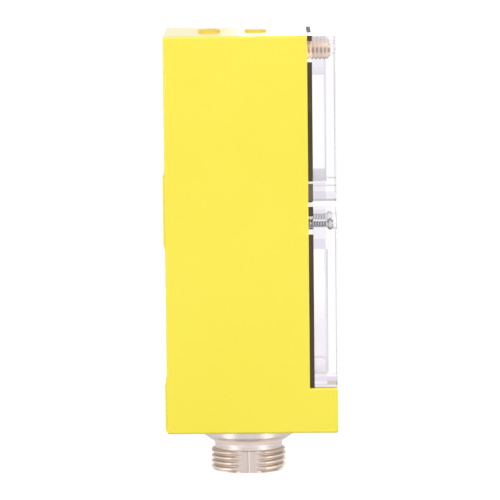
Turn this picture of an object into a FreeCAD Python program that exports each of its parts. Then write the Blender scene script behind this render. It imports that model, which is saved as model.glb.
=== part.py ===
"""Light screen receiver: a slim moulded housing with two clear covers and a threaded connector.

Frame in millimetres: the origin is the centre of the four mounting inserts on the rear pad plane,
+X points out of the clear covers, Y runs across the width and +Z is up.
"""
import FreeCAD, Part
import os
import re
import Sketcher

# Driving dimensions
SIZES = {
    # Housing
    "body_width": 44.5,
    "body_height": 117.4,
    "body_depth": 42.7,
    "wall": 2.8,
    "edge_radius": 0.6,
    "foot_height": 13.4,
    "opening_margin": 2.8,
    "top_band": 10.0,
    # Rear pads
    "pad_rise": 0.5,
    "pad_inset": 1.2,
    "lower_pad_height": 14.5,
    "lower_pad_ramp": 3.0,
    "upper_pad_height": 20.1,
    "upper_pad_ramp": 2.4,
    # Mounting inserts
    "mount_pitch_y": 25.4,
    "mount_pitch_z": 59.2,
    "mount_row_height": 7.25,
    "mount_bore": 4.2,
    "mount_insert_width": 7.0,
    "mount_insert_length": 8.0,
    "mount_groove_depth": 0.4,
    "mount_groove_length": 1.6,
    "mount_boss_wall": 1.75,
    "mount_boss_floor": 1.5,
    # Clear covers and gaskets
    "gasket_thick": 1.4,
    "gasket_notch_depth": 13.6,
    "cover_thick": 6.9,
    "cover_side_wall": 2.0,
    "cover_edge_radius": 0.45,
    "window_pocket": 3.7,
    "cover_clearance": 0.4,
    "cover_gap": 1.55,
    "lower_cover_height": 53.3,
    "lower_cover_floor": 4.05,
    "lower_cover_head": 12.55,
    "upper_cover_floor": 5.9,
    "upper_cover_head": 11.35,
    "lip_tongue": 1.2,
    "lip_tongue_inset": 7.0,
    "lip_clearance": 0.15,
    "lip_pad_gap": 0.65,
    # Cover fasteners
    "fastener_spacing": 33.0,
    "bush_drop": 4.5,
    "bush_width": 5.5,
    "bush_seat": 0.8,
    "bush_length": 6.6,
    "bush_tip_length": 1.1,
    "bush_bore": 2.5,
    "bush_access": 3.05,
    "bush_notch_margin": 0.55,
    "bush_notch_gap": 0.1,
    "screw_drop": 5.5,
    "screw_thread": 2.0,
    "screw_length": 11.5,
    "screw_head_width": 3.8,
    "screw_head_height": 1.7,
    "screw_slot_width": 0.5,
    "screw_slot_depth": 0.6,
    "screw_well": 4.2,
    "screw_well_depth": 2.75,
    "screw_spacer": 3.6,
    "screw_notch": 5.3,
    "screw_boss_reach": 2.7,
    "screw_boss_length": 9.5,
    # Optics carrier, lenses and detectors
    "carrier_thick": 3.0,
    "carrier_clearance": 0.2,
    "rail_width": 1.5,
    "rail_depth": 6.0,
    "optics_depth": 12.0,
    "optics_block_width": 13.0,
    "optics_block_margin": 3.6,
    "lens_pitch": 6.0,
    "lens_width": 5.2,
    "lens_rim": 0.9,
    "lens_crown": 0.9,
    "lens_recess": 0.2,
    "beam_bore": 3.6,
    "detector_width": 3.8,
    "detector_thick": 1.2,
    "detector_clearance": 0.2,
    # Boards and parts on them
    "board_thick": 1.6,
    "board_margin": 0.6,
    "board_side_gap": 1.0,
    "post_width": 5.0,
    "post_inset_y": 4.2,
    "post_inset_z": 4.0,
    "board_screw": 2.0,
    "board_screw_length": 8.0,
    "board_screw_head": 3.6,
    "board_screw_head_height": 1.3,
    "chip_width": 12.0,
    "chip_thick": 1.6,
    "chip_height": 40.0,
    "shield_length": 30.0,
    "shield_width": 22.0,
    "shield_thick": 5.0,
    "shield_wall": 0.4,
    "shield_height": 74.0,
    "capacitor_width": 6.3,
    "capacitor_length": 7.7,
    "capacitor_spacing": 14.0,
    "capacitor_height": 29.0,
    # Connector
    "connector_place": 24.35,
    "thread_width": 22.2,
    "thread_length": 6.6,
    "thread_chamfer": 0.6,
    "neck_width": 20.1,
    "neck_length": 1.8,
    "flange_width": 27.0,
    "flange_thick": 1.9,
    "flange_taper": 2.4,
    "seal_thick": 1.0,
    "seal_inset": 0.5,
    "seal_band": 1.5,
    "shank_width": 19.0,
    "shank_clearance": 0.2,
    "shank_length": 8.0,
    "socket_width": 18.0,
    "socket_depth": 9.6,
    "insert_width": 16.4,
    "key_width": 2.4,
    "key_rise": 1.1,
    "nut_across": 24.0,
    "nut_thick": 4.0,
    "pin_width": 2.0,
    "pin_circle": 10.4,
    "pin_reach": 7.6,
    "pin_tip": 0.6,
    "connector_board_rise": 4.4,
    "connector_board_length": 20.0,
    "connector_board_width": 22.0,
    "link_width": 12.0,
    "link_thick": 2.5,
    "link_height": 7.0,
    # Indicators
    "indicator_place": 13.9,
    "indicator_spacing": 13.7,
    "indicator_width": 6.65,
    "indicator_rise": 0.75,
    "indicator_edge": 0.35,
    "indicator_stem": 4.6,
    "indicator_reach": 1.0,
    "indicator_drop": 4.0,
    "diode_width": 3.0,
    "diode_flange": 3.8,
    "diode_flange_thick": 0.6,
    "diode_crown": 0.75,
    "indicator_board_thick": 1.2,
    "indicator_board_width": 20.0,
    "indicator_board_margin": 5.0,
    "stake_width": 2.0,
    "stake_shoulder": 3.6,
    "stake_rise": 0.6,
    "stake_spacing": 14.0,
    # Fits
    "fit_clearance": 0.03,
}

# Places worked out from the driving dimensions
PLACES = {
    "half_width": "body_width / 2",
    "inside_half": "half_width - wall",
    "bottom": "-(mount_row_height + mount_pitch_z / 2)",
    "top": "bottom + body_height",
    "inner_floor": "bottom + wall",
    "inner_ceiling": "top - wall",
    "rear": "pad_rise",
    "inner_rear": "pad_rise + wall",
    "upper_pad_bottom": "mount_pitch_z / 2 - upper_pad_height / 2",
    "upper_pad_top": "mount_pitch_z / 2 + upper_pad_height / 2",
    "cover_back": "body_depth + gasket_thick",
    "cover_front": "cover_back + cover_thick",
    "foot_top": "bottom + foot_height",
    "lower_cover_bottom": "foot_top + cover_clearance",
    "lower_cover_top": "lower_cover_bottom + lower_cover_height",
    "upper_cover_bottom": "lower_cover_top + cover_gap",
    "lower_window_bottom": "lower_cover_bottom + lower_cover_floor",
    "lower_window_top": "lower_cover_top - lower_cover_head",
    "upper_window_bottom": "upper_cover_bottom + upper_cover_floor",
    "upper_window_top": "top - upper_cover_head",
    "fastener_y": "fastener_spacing / 2",
    "bush_z": "top - bush_drop",
    "screw_z": "lower_cover_top - screw_drop",
    "opening_bottom": "foot_top + opening_margin",
    "opening_top": "top - top_band",
    "carrier_back": "body_depth - carrier_thick",
    "board_front": "body_depth - optics_depth",
    "board_back": "board_front - board_thick",
    "board_bottom": "opening_bottom + board_margin",
    "board_top": "opening_top - board_margin",
    "board_half": "inside_half - rail_width - board_side_gap",
    "post_y": "board_half - post_inset_y",
    "lower_beam_z": "(lower_window_bottom + lower_window_top) / 2",
    "upper_beam_z": "(upper_window_bottom + upper_window_top) / 2",
    "lens_front": "body_depth - lens_recess",
    "lens_back": "lens_front - lens_crown - lens_rim",
    "block_half": "2 * lens_pitch + optics_block_margin",
    "flange_top": "bottom - seal_thick",
    "flange_bottom": "flange_top - flange_thick",
    "neck_top": "flange_bottom - flange_taper",
    "thread_top": "neck_top - neck_length",
    "thread_end": "thread_top - thread_length",
    "socket_top": "thread_end + socket_depth",
    "shank_top": "inner_floor + shank_length",
    "connector_board_bottom": "shank_top + connector_board_rise - board_thick",
    "connector_board_top": "shank_top + connector_board_rise",
    "indicator_board_top": "inner_ceiling - indicator_drop",
    "indicator_board_bottom": "indicator_board_top - indicator_board_thick",
    "indicator_stem_end": "inner_ceiling - indicator_reach",
    "indicator_middle": "indicator_place + indicator_spacing / 2",
}

SIDES = (-1, 1)
BEAM_STEPS = (-2, -1, 0, 1, 2)
PIN_COUNT = 5
PIN_ANGLE = 360 / PIN_COUNT
HEXAGON_HALF_ANGLE = 30
SCREW_HEAD_SIDE_SHARE = 0.6
SCREW_END_SHARE = 0.7

doc = FreeCAD.newDocument("light_screen_receiver")
sheet = doc.addObject("Spreadsheet::Sheet", "Sizes")
for row, (alias, number) in enumerate(SIZES.items(), start=1):
    sheet.set(f"A{row}", alias.replace("_", " "))
    sheet.set(f"B{row}", str(number))
    sheet.setAlias(f"B{row}", alias)
doc.recompute()


def cell(text):
    """Give a size expression with every name pointed at its cell of the sheet."""
    def point(match):
        name = match.group(0)
        if name in PLACES:
            return "(" + cell(PLACES[name]) + ")"
        return "Sizes." + name if name in SIZES else name
    return re.sub(r"[a-z][a-z_]*", point, text)


def number(text):
    """Work out a size expression as a plain number."""
    found = sheet.evalExpression(cell(text))
    return float(getattr(found, "Value", found))


def bind(thing, name, text):
    """Tie one property to the sheet."""
    thing.setExpression(name, cell(text))


def new_body(label):
    """Start a body with its node name."""
    body = doc.addObject("PartDesign::Body", label)
    body.Label = label
    return body


def new_sketch(body, role, shift=("0", "0", "0")):
    """Start a sketch on one of the body's own planes, moved within and off that plane."""
    sketch = body.newObject("Sketcher::SketchObject", body.Label + "_sketch")
    plane = next(item for item in body.Origin.OriginFeatures if item.Role == role)
    sketch.AttachmentSupport = [(plane, "")]
    sketch.MapMode = "FlatFace"
    for axis, text in zip("xyz", shift):
        bind(sketch, f"AttachmentOffset.Base.{axis}", text)
    return sketch


def across(body, depth):
    """Start a sketch that faces along X, drawn in Y and Z."""
    return new_sketch(body, "YZ_Plane", ("0", "0", depth))


def level(body, height):
    """Start a sketch that faces up, drawn in X and Y."""
    return new_sketch(body, "XY_Plane", ("0", "0", height))


def along_axis(body, y, z):
    """Start a sketch whose horizontal axis runs along X through one point of the front."""
    return new_sketch(body, "XY_Plane", ("0", y, z))


def up_axis(body, x, y):
    """Start a sketch whose vertical axis runs up through one point of the plan."""
    return new_sketch(body, "XZ_Plane", (x, "0", "-(" + y + ")"))


def fix_point(sketch, geometry, point, place, spot):
    """Hold one sketch point at two bound distances from the sketch origin."""
    for kind, text, start in zip(("DistanceX", "DistanceY"), place, (spot.x, spot.y)):
        index = sketch.addConstraint(Sketcher.Constraint(kind, -1, 1, geometry, point, start))
        bind(sketch, f"Constraints[{index}]", text)


def polygon(sketch, places):
    """Draw a closed outline through bound corner places."""
    spots = [FreeCAD.Vector(number(u), number(v), 0) for u, v in places]
    count = len(spots)
    first = sketch.GeometryCount
    for step in range(count):
        sketch.addGeometry(Part.LineSegment(spots[step], spots[(step + 1) % count]), False)
    for step in range(count):
        following = first + (step + 1) % count
        sketch.addConstraint(Sketcher.Constraint("Coincident", first + step, 2, following, 1))
    for step, place in enumerate(places):
        fix_point(sketch, first + step, 1, place, spots[step])


def rectangle(sketch, low, high):
    """Draw a rectangle between two bound corners."""
    polygon(sketch, [(low[0], low[1]), (high[0], low[1]), (high[0], high[1]), (low[0], high[1])])


def circle(sketch, place, width):
    """Draw a circle of a bound width about a bound place."""
    spot = FreeCAD.Vector(number(place[0]), number(place[1]), 0)
    up = FreeCAD.Vector(0, 0, 1)
    index = sketch.addGeometry(Part.Circle(spot, up, number(width) / 2), False)
    fix_point(sketch, index, 3, place, spot)
    size = sketch.addConstraint(Sketcher.Constraint("Diameter", index, number(width)))
    bind(sketch, f"Constraints[{size}]", width)


def feature(body, kind, sketch):
    """Add one sketch-based feature to a body."""
    made = body.newObject("PartDesign::" + kind, body.Label + "_" + kind.lower())
    made.Profile = sketch
    sketch.Visibility = False
    return made


def pad(body, sketch, length, backwards=False, both_ways=False):
    """Add material along the sketch's normal."""
    made = feature(body, "Pad", sketch)
    bind(made, "Length", length)
    made.Reversed = backwards
    made.Midplane = both_ways
    return made


def pocket(body, sketch, length, forwards=False):
    """Cut material against the sketch's normal, or along it."""
    made = feature(body, "Pocket", sketch)
    bind(made, "Length", length)
    made.Reversed = forwards
    return made


def turn(body, kind, sketch, axis):
    """Turn a sketch right round one of its own axes."""
    made = feature(body, kind, sketch)
    made.ReferenceAxis = (sketch, [axis])
    made.Angle = 360
    return made


def round_edges(body, radius, wanted):
    """Round the edges of the body's last feature that a test picks out."""
    doc.recompute()
    base = body.Tip
    names = [
        f"Edge{index}"
        for index, edge in enumerate(base.Shape.Edges, start=1)
        if wanted([vertex.Point for vertex in edge.Vertexes])
    ]
    made = body.newObject("PartDesign::Fillet", body.Label + "_fillet")
    made.Base = (base, names)
    bind(made, "Radius", radius)
    return made


def group(label, pieces):
    """Gather like pieces in one node as separate solids."""
    made = doc.addObject("Part::Compound", label)
    made.Label = label
    made.Links = pieces
    return made


def on_plane(points, axis, height):
    """Tell whether all points lie at one coordinate."""
    near = 1e-4
    return all(abs(getattr(point, axis) - number(height)) < near for point in points)


def make_housing():
    """The yellow moulding: shell, foot, rear pads, screw bosses, rails and ports."""
    body = new_body("housing")
    profile = new_sketch(body, "XZ_Plane")
    polygon(profile, [
        ("rear", "bottom"),
        ("cover_front", "bottom"),
        ("cover_front", "foot_top"),
        ("body_depth", "foot_top"),
        ("body_depth", "top"),
        ("rear", "top"),
    ])
    pad(body, profile, "body_width", both_ways=True)

    def outer(points):
        return not on_plane(points, "x", "body_depth")
    round_edges(body, "edge_radius", outer)

    pads = new_sketch(body, "XZ_Plane")
    polygon(pads, [
        ("rear", "bottom + edge_radius"),
        ("0", "bottom + edge_radius + pad_rise"),
        ("0", "bottom + lower_pad_height"),
        ("rear", "bottom + lower_pad_height + lower_pad_ramp"),
    ])
    polygon(pads, [
        ("rear", "upper_pad_bottom - upper_pad_ramp"),
        ("0", "upper_pad_bottom"),
        ("0", "upper_pad_top"),
        ("rear", "upper_pad_top"),
    ])
    pad(body, pads, "body_width - 2 * pad_inset", both_ways=True)

    inside = across(body, "body_depth - wall")
    rectangle(inside, ("-inside_half", "inner_floor"), ("inside_half", "inner_ceiling"))
    pocket(body, inside, "body_depth - wall - inner_rear")
    opening = across(body, "body_depth")
    rectangle(opening, ("-inside_half", "opening_bottom"), ("inside_half", "opening_top"))
    pocket(body, opening, "wall")

    rails = across(body, "carrier_back")
    for side in SIDES:
        inner = f"{side} * (inside_half - rail_width)"
        rectangle(rails, (inner, "opening_bottom"), (f"{side} * half_width", "opening_top"))
    pad(body, rails, "rail_depth", backwards=True)
    screw_bosses = across(body, "body_depth")
    for side in SIDES:
        inner = f"{side} * (fastener_y - screw_boss_reach)"
        low = (inner, "screw_z - screw_boss_reach")
        high = (f"{side} * half_width", "screw_z + screw_boss_reach")
        rectangle(screw_bosses, low, high)
    pad(body, screw_bosses, "screw_boss_length", backwards=True)
    mount_bosses = across(body, "rear")
    for side, row_side in ((y, z) for y in SIDES for z in SIDES):
        place = (f"{side} * mount_pitch_y / 2", f"{row_side} * mount_pitch_z / 2")
        circle(mount_bosses, place, "mount_insert_width + 2 * mount_boss_wall")
    pad(body, mount_bosses, "mount_insert_length + mount_boss_floor - rear")
    shoulders = level(body, "inner_ceiling")
    stakes = level(body, "inner_ceiling")
    for side in SIDES:
        place = ("indicator_middle", f"{side} * stake_spacing / 2")
        circle(shoulders, place, "stake_shoulder")
        circle(stakes, place, "stake_width")
    pad(body, shoulders, "indicator_drop", backwards=True)
    pad(body, stakes, "indicator_drop + indicator_board_thick + stake_rise", backwards=True)

    mount_holes = across(body, "0")
    for side, row_side in ((y, z) for y in SIDES for z in SIDES):
        place = (f"{side} * mount_pitch_y / 2", f"{row_side} * mount_pitch_z / 2")
        circle(mount_holes, place, "mount_insert_width + 2 * fit_clearance")
    pocket(body, mount_holes, "mount_insert_length", forwards=True)
    screw_holes = across(body, "body_depth")
    bush_seats = across(body, "body_depth")
    for side in SIDES:
        circle(screw_holes, (f"{side} * fastener_y", "screw_z"), "screw_thread + 2 * fit_clearance")
        circle(bush_seats, (f"{side} * fastener_y", "bush_z"), "bush_width + 2 * fit_clearance")
    pocket(body, screw_holes, "screw_boss_length")
    pocket(body, bush_seats, "bush_seat")
    port = level(body, "bottom")
    circle(port, ("connector_place", "0"), "shank_width + 2 * shank_clearance")
    pocket(body, port, "wall", forwards=True)
    lens_holes = level(body, "top")
    for step in range(2):
        place = (f"indicator_place + {step} * indicator_spacing", "0")
        circle(lens_holes, place, "indicator_stem + 2 * fit_clearance")
    pocket(body, lens_holes, "wall")
    return body


def make_upper_gasket():
    """The black seal behind the upper cover, open below, where the cover's lip closes it."""
    body = new_body("upper_gasket")
    sheet_outline = across(body, "body_depth")
    polygon(sheet_outline, [
        ("-half_width", "upper_window_bottom"),
        ("-inside_half", "upper_window_bottom"),
        ("-inside_half", "upper_window_top"),
        ("inside_half", "upper_window_top"),
        ("inside_half", "upper_window_bottom"),
        ("half_width", "upper_window_bottom"),
        ("half_width", "top"),
        ("-half_width", "top"),
    ])
    pad(body, sheet_outline, "gasket_thick")
    notches = across(body, "body_depth")
    for side in SIDES:
        low = (f"{side} * (half_width - gasket_notch_depth)", "bush_z - bush_width / 2 - bush_notch_margin")
        high = (f"{side} * (half_width + wall)", "bush_z + bush_width / 2 + bush_notch_gap")
        rectangle(notches, low, high)
    pocket(body, notches, "gasket_thick", forwards=True)
    return body


def make_lip_pads():
    """The two pads that seal the housing walls beside the upper cover's lip."""
    made = []
    inner = "(half_width - lip_tongue_inset + lip_clearance)"
    for side in SIDES:
        label = "lip_pad_right" if side > 0 else "lip_pad_left"
        edges = (inner, "half_width") if side > 0 else ("-half_width", f"-{inner}")
        low = ("body_depth", edges[0], "upper_cover_bottom + lip_clearance")
        high = ("cover_back", edges[1], "upper_window_bottom - lip_pad_gap")
        made.append(new_box(label, low, high))
    return group("lip_pads", made)


def make_lower_gasket():
    """The black ring seal behind the lower cover, notched round the cover screws."""
    body = new_body("lower_gasket")
    sheet_outline = across(body, "body_depth")
    rectangle(sheet_outline, ("-half_width", "lower_cover_bottom"), ("half_width", "lower_cover_top"))
    rectangle(sheet_outline, ("-inside_half", "lower_window_bottom"), ("inside_half", "lower_window_top"))
    pad(body, sheet_outline, "gasket_thick")
    notches = across(body, "body_depth")
    for side in SIDES:
        low = (f"{side} * (half_width - gasket_notch_depth)", "screw_z - screw_notch / 2")
        rectangle(notches, low, (f"{side} * (half_width + wall)", "screw_z + screw_notch / 2"))
    pocket(body, notches, "gasket_thick", forwards=True)
    return body


def make_cover_block(label, low, high, window_low, window_high):
    """A clear slab with rounded outer edges and a window pocket in its back."""
    body = new_body(label)
    slab = across(body, "cover_back")
    rectangle(slab, ("-half_width", low), ("half_width", high))
    pad(body, slab, "cover_thick")

    def outer(points):
        return not on_plane(points, "x", "cover_back")
    round_edges(body, "cover_edge_radius", outer)
    window = across(body, "cover_back")
    inner = "half_width - cover_side_wall"
    rectangle(window, (f"-({inner})", window_low), (inner, window_high))
    pocket(body, window, "window_pocket", forwards=True)
    return body


def make_upper_cover():
    """The upper clear cover: bush bores in the head block and a lip that reaches into the carrier."""
    body = make_cover_block(
        "upper_cover", "upper_cover_bottom", "top", "upper_window_bottom", "upper_window_top")
    lip = across(body, "cover_back")
    inner = "half_width - lip_tongue_inset"
    rectangle(lip, (f"-({inner})", "upper_cover_bottom + cover_edge_radius"),
              (inner, "upper_window_bottom - lip_clearance"))
    pad(body, lip, "gasket_thick + lip_tongue", backwards=True)
    shoulder = "body_depth - bush_seat + bush_length"
    for side in SIDES:
        bore = along_axis(body, f"{side} * fastener_y", "bush_z")
        polygon(bore, [
            ("cover_back", "0"),
            ("cover_front", "0"),
            ("cover_front", "bush_access / 2"),
            (shoulder + " + bush_tip_length", "bush_access / 2"),
            (shoulder, "bush_width / 2 + fit_clearance"),
            ("cover_back", "bush_width / 2 + fit_clearance"),
        ])
        turn(body, "Groove", bore, "H_Axis")
    return body


def make_lower_cover():
    """The lower clear cover: screw wells in the head block, with spacers that reach the housing."""
    body = make_cover_block(
        "lower_cover", "lower_cover_bottom", "lower_cover_top", "lower_window_bottom", "lower_window_top")
    spacers = across(body, "cover_back")
    holes = across(body, "body_depth")
    wells = across(body, "cover_front")
    for side in SIDES:
        place = (f"{side} * fastener_y", "screw_z")
        circle(spacers, place, "screw_spacer")
        circle(holes, place, "screw_thread + 2 * fit_clearance")
        circle(wells, place, "screw_well")
    pad(body, spacers, "gasket_thick", backwards=True)
    pocket(body, holes, "gasket_thick + cover_thick", forwards=True)
    pocket(body, wells, "screw_well_depth")
    return body


def make_cover_bushes():
    """The two brass bushes: seated in the housing, bored for a front accessory thread."""
    made = []
    back = "body_depth - bush_seat"
    shoulder = back + " + bush_length"
    for side in SIDES:
        body = new_body("bush_right" if side > 0 else "bush_left")
        profile = along_axis(body, f"{side} * fastener_y", "bush_z")
        polygon(profile, [
            (back, "bush_bore / 2"),
            (shoulder + " + bush_tip_length - fit_clearance", "bush_bore / 2"),
            (shoulder + " + bush_tip_length - fit_clearance", "bush_access / 2"),
            (shoulder + " - fit_clearance", "bush_width / 2"),
            (back, "bush_width / 2"),
        ])
        turn(body, "Revolution", profile, "H_Axis")
        made.append(body)
    return group("cover_bushes", made)


def make_screw(label, y, z, seat, direction, sizes):
    """A slotted pan-head screw along X whose head sits on its seat and whose shank points back."""
    thread, length, head, height = sizes
    body = new_body(label)
    profile = along_axis(body, y, z)
    side = f"{height} * {SCREW_HEAD_SIDE_SHARE}"
    polygon(profile, [
        (f"{seat} - {direction} * ({length})", "0"),
        (f"{seat} - {direction} * ({length})", f"{thread} / 2 * {SCREW_END_SHARE}"),
        (f"{seat} - {direction} * ({length} - {thread} / 2)", f"{thread} / 2"),
        (seat, f"{thread} / 2"),
        (seat, f"{head} / 2"),
        (f"{seat} + {direction} * {side}", f"{head} / 2"),
        (f"{seat} + {direction} * ({height})", f"{head} / 2 * {SCREW_END_SHARE}"),
        (f"{seat} + {direction} * ({height})", "0"),
    ])
    turn(body, "Revolution", profile, "H_Axis")
    slot = across(body, f"{seat} + {direction} * ({height})")
    rectangle(slot, (f"{y} - {head} / 2", f"{z} - screw_slot_width / 2"),
              (f"{y} + {head} / 2", f"{z} + screw_slot_width / 2"))
    pocket(body, slot, "screw_slot_depth", forwards=direction < 0)
    return body


def make_cover_screws():
    """The two small screws that hold the lower cover."""
    seat = "(cover_front - screw_well_depth)"
    sizes = ("screw_thread", "screw_length", "screw_head_width", "screw_head_height")
    made = []
    for side in SIDES:
        label = "cover_screw_right" if side > 0 else "cover_screw_left"
        made.append(make_screw(label, f"{side} * fastener_y", "screw_z", seat, 1, sizes))
    return group("cover_screws", made)


def beam_places():
    """Each beam's height expression, lower window first."""
    return [f"{middle} + {step} * lens_pitch"
            for middle in ("lower_beam_z", "upper_beam_z") for step in BEAM_STEPS]


def board_posts():
    """The places of the four posts that carry the main board."""
    rows = ("board_bottom + post_inset_z", "board_top - post_inset_z")
    return [(f"{side} * post_y", row) for side in SIDES for row in rows]


def make_optics_carrier():
    """The black moulding in the housing's front: lens seats, beam bores and board posts."""
    body = new_body("optics_carrier")
    plate = across(body, "carrier_back")
    half = "inside_half - carrier_clearance"
    rectangle(plate, (f"-({half})", "opening_bottom + carrier_clearance"),
              (half, "opening_top - carrier_clearance"))
    pad(body, plate, "carrier_thick")
    blocks = across(body, "carrier_back")
    for middle in ("lower_beam_z", "upper_beam_z"):
        rectangle(blocks, ("-optics_block_width / 2", f"{middle} - block_half"),
                  ("optics_block_width / 2", f"{middle} + block_half"))
    for place in board_posts():
        circle(blocks, place, "post_width")
    pad(body, blocks, "carrier_back - board_front", backwards=True)

    notches = across(body, "body_depth")
    for side in SIDES:
        reach = "(screw_boss_reach + carrier_clearance)"
        rectangle(notches, (f"{side} * (fastener_y - {reach})", f"screw_z - {reach}"),
                  (f"{side} * half_width", f"screw_z + {reach}"))
    pocket(body, notches, "carrier_thick")
    groove = across(body, "body_depth")
    reach = "half_width - lip_tongue_inset + lip_clearance"
    rectangle(groove, (f"-({reach})", "upper_cover_bottom + cover_edge_radius - lip_clearance"),
              (reach, "upper_window_bottom"))
    pocket(body, groove, "lip_tongue + lip_clearance")
    seats = across(body, "body_depth")
    bores = across(body, "body_depth")
    nests = across(body, "board_front")
    for height in beam_places():
        circle(seats, ("0", height), "lens_width + 2 * fit_clearance")
        circle(bores, ("0", height), "beam_bore")
        reach = "(detector_width / 2 + detector_clearance)"
        rectangle(nests, (f"-{reach}", f"{height} - {reach}"), (reach, f"{height} + {reach}"))
    pocket(body, seats, "body_depth - lens_back")
    pocket(body, bores, "optics_depth")
    pocket(body, nests, "detector_thick + detector_clearance", forwards=True)
    pilots = across(body, "board_front")
    for place in board_posts():
        circle(pilots, place, "board_screw + 2 * fit_clearance")
    pocket(body, pilots, "board_screw_length - board_thick + detector_clearance", forwards=True)
    return body


def make_lenses(label, middle):
    """One window's column of plano-convex lenses."""
    made = []
    for step in BEAM_STEPS:
        body = new_body(f"{label}_{step + 3}")
        profile = along_axis(body, "0", f"{middle} + {step} * lens_pitch")
        crown_edge = FreeCAD.Vector(number("lens_back + lens_rim"), number("lens_width / 2"), 0)
        crown_top = FreeCAD.Vector(number("lens_front"), 0, 0)
        half = number("lens_width / 2")
        rise = number("lens_crown")
        radius = (half * half + rise * rise) / (2 * rise)
        centre = FreeCAD.Vector(crown_top.x - radius, 0, 0)
        lean = (crown_edge - centre).normalize() + (crown_top - centre).normalize()
        bulge = centre + lean.normalize() * radius
        back_middle = FreeCAD.Vector(number("lens_back"), 0, 0)
        back_edge = FreeCAD.Vector(number("lens_back"), half, 0)
        profile.addGeometry(Part.LineSegment(back_middle, back_edge), False)
        profile.addGeometry(Part.LineSegment(back_edge, crown_edge), False)
        profile.addGeometry(Part.Arc(crown_top, bulge, crown_edge), False)
        profile.addGeometry(Part.LineSegment(crown_top, back_middle), False)
        for first, end, second, start in ((0, 2, 1, 1), (1, 2, 2, 2), (2, 1, 3, 1), (3, 2, 0, 1)):
            profile.addConstraint(Sketcher.Constraint("Coincident", first, end, second, start))
        fix_point(profile, 0, 1, ("lens_back", "0"), back_middle)
        fix_point(profile, 1, 1, ("lens_back", "lens_width / 2"), back_edge)
        fix_point(profile, 1, 2, ("lens_back + lens_rim", "lens_width / 2"), crown_edge)
        fix_point(profile, 3, 1, ("lens_front", "0"), crown_top)
        profile.addConstraint(Sketcher.Constraint("PointOnObject", 2, 3, -1))
        turn(body, "Revolution", profile, "H_Axis")
        made.append(body)
    return group(label, made)


def new_box(label, low, high):
    """A block between two bound corners."""
    made = doc.addObject("Part::Box", label)
    made.Label = label
    for name, axis, start, end in zip(("Length", "Width", "Height"), "xyz", low, high):
        bind(made, f"Placement.Base.{axis}", start)
        bind(made, name, f"({end}) - ({start})")
    return made


def make_photodiodes():
    """The ten detectors on the main board, each in its nest behind a lens."""
    made = []
    half = "detector_width / 2"
    for index, height in enumerate(beam_places(), start=1):
        low = ("board_front", f"-({half})", f"{height} - {half}")
        high = ("board_front + detector_thick", half, f"{height} + {half}")
        made.append(new_box(f"photodiode_{index}", low, high))
    return group("photodiodes", made)


def make_main_board():
    """The long circuit board behind the optics carrier."""
    body = new_body("main_board")
    outline = across(body, "board_back")
    rectangle(outline, ("-board_half", "board_bottom"), ("board_half", "board_top"))
    for place in board_posts():
        circle(outline, place, "board_screw + 2 * fit_clearance")
    pad(body, outline, "board_thick")
    return body


def make_board_screws():
    """The four screws that hold the main board to the carrier's posts."""
    sizes = ("board_screw", "board_screw_length", "board_screw_head", "board_screw_head_height")
    made = []
    for index, (y, z) in enumerate(board_posts(), start=1):
        made.append(make_screw(f"board_screw_{index}", y, f"({z})", "board_back", -1, sizes))
    return group("board_screws", made)


def make_processor_chip():
    """The controller on the back of the main board."""
    half = "chip_width / 2"
    middle = "bottom + chip_height"
    return new_box("processor_chip", ("board_back - chip_thick", f"-({half})", f"{middle} - {half}"),
                   ("board_back", half, f"{middle} + {half}"))


def make_amplifier_shield():
    """The folded metal can over the detector amplifier."""
    body = new_body("amplifier_shield")
    middle = "(bottom + shield_height)"
    can = across(body, "board_back - shield_thick")
    rectangle(can, ("-shield_width / 2", f"{middle} - shield_length / 2"),
              ("shield_width / 2", f"{middle} + shield_length / 2"))
    pad(body, can, "shield_thick")
    hollow = across(body, "board_back")
    inner_side = "(shield_width / 2 - shield_wall)"
    inner_end = "(shield_length / 2 - shield_wall)"
    rectangle(hollow, (f"-{inner_side}", f"{middle} - {inner_end}"),
              (inner_side, f"{middle} + {inner_end}"))
    pocket(body, hollow, "shield_thick - shield_wall")
    return body


def make_supply_capacitors():
    """The two round supply capacitors, standing out from the back of the main board."""
    made = []
    for side in SIDES:
        body = new_body("capacitor_right" if side > 0 else "capacitor_left")
        can = across(body, "board_back")
        circle(can, (f"{side} * capacitor_spacing / 2", "bottom + capacitor_height"), "capacitor_width")
        pad(body, can, "capacitor_length", backwards=True)
        made.append(body)
    return group("supply_capacitors", made)


def make_connector_shell():
    """The plated casting: threaded end, neck, tapered flange, shank and keyed socket."""
    body = new_body("connector_shell")
    profile = up_axis(body, "connector_place", "0")
    polygon(profile, [
        ("socket_width / 2", "thread_end"),
        ("thread_width / 2 - thread_chamfer", "thread_end"),
        ("thread_width / 2", "thread_end + thread_chamfer"),
        ("thread_width / 2", "thread_top"),
        ("neck_width / 2", "thread_top"),
        ("neck_width / 2", "neck_top"),
        ("flange_width / 2", "flange_bottom"),
        ("flange_width / 2", "flange_top"),
        ("shank_width / 2", "flange_top"),
        ("shank_width / 2", "shank_top"),
        ("insert_width / 2", "shank_top"),
        ("insert_width / 2", "socket_top"),
        ("socket_width / 2", "socket_top"),
    ])
    turn(body, "Revolution", profile, "V_Axis")
    key = level(body, "thread_end + thread_chamfer")
    inner = "connector_place + socket_width / 2 - key_rise"
    rectangle(key, (inner, "-key_width / 2"),
              ("connector_place + (socket_width / 2 + thread_width / 2) / 2", "key_width / 2"))
    pad(body, key, "socket_depth - thread_chamfer")
    return body


def make_connector_seal():
    """The flat black ring between the rim of the connector's flange and the housing."""
    body = new_body("connector_seal")
    ring = level(body, "flange_top")
    circle(ring, ("connector_place", "0"), "flange_width - 2 * seal_inset")
    circle(ring, ("connector_place", "0"), "flange_width - 2 * seal_inset - 2 * seal_band")
    pad(body, ring, "seal_thick")
    return body


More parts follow.
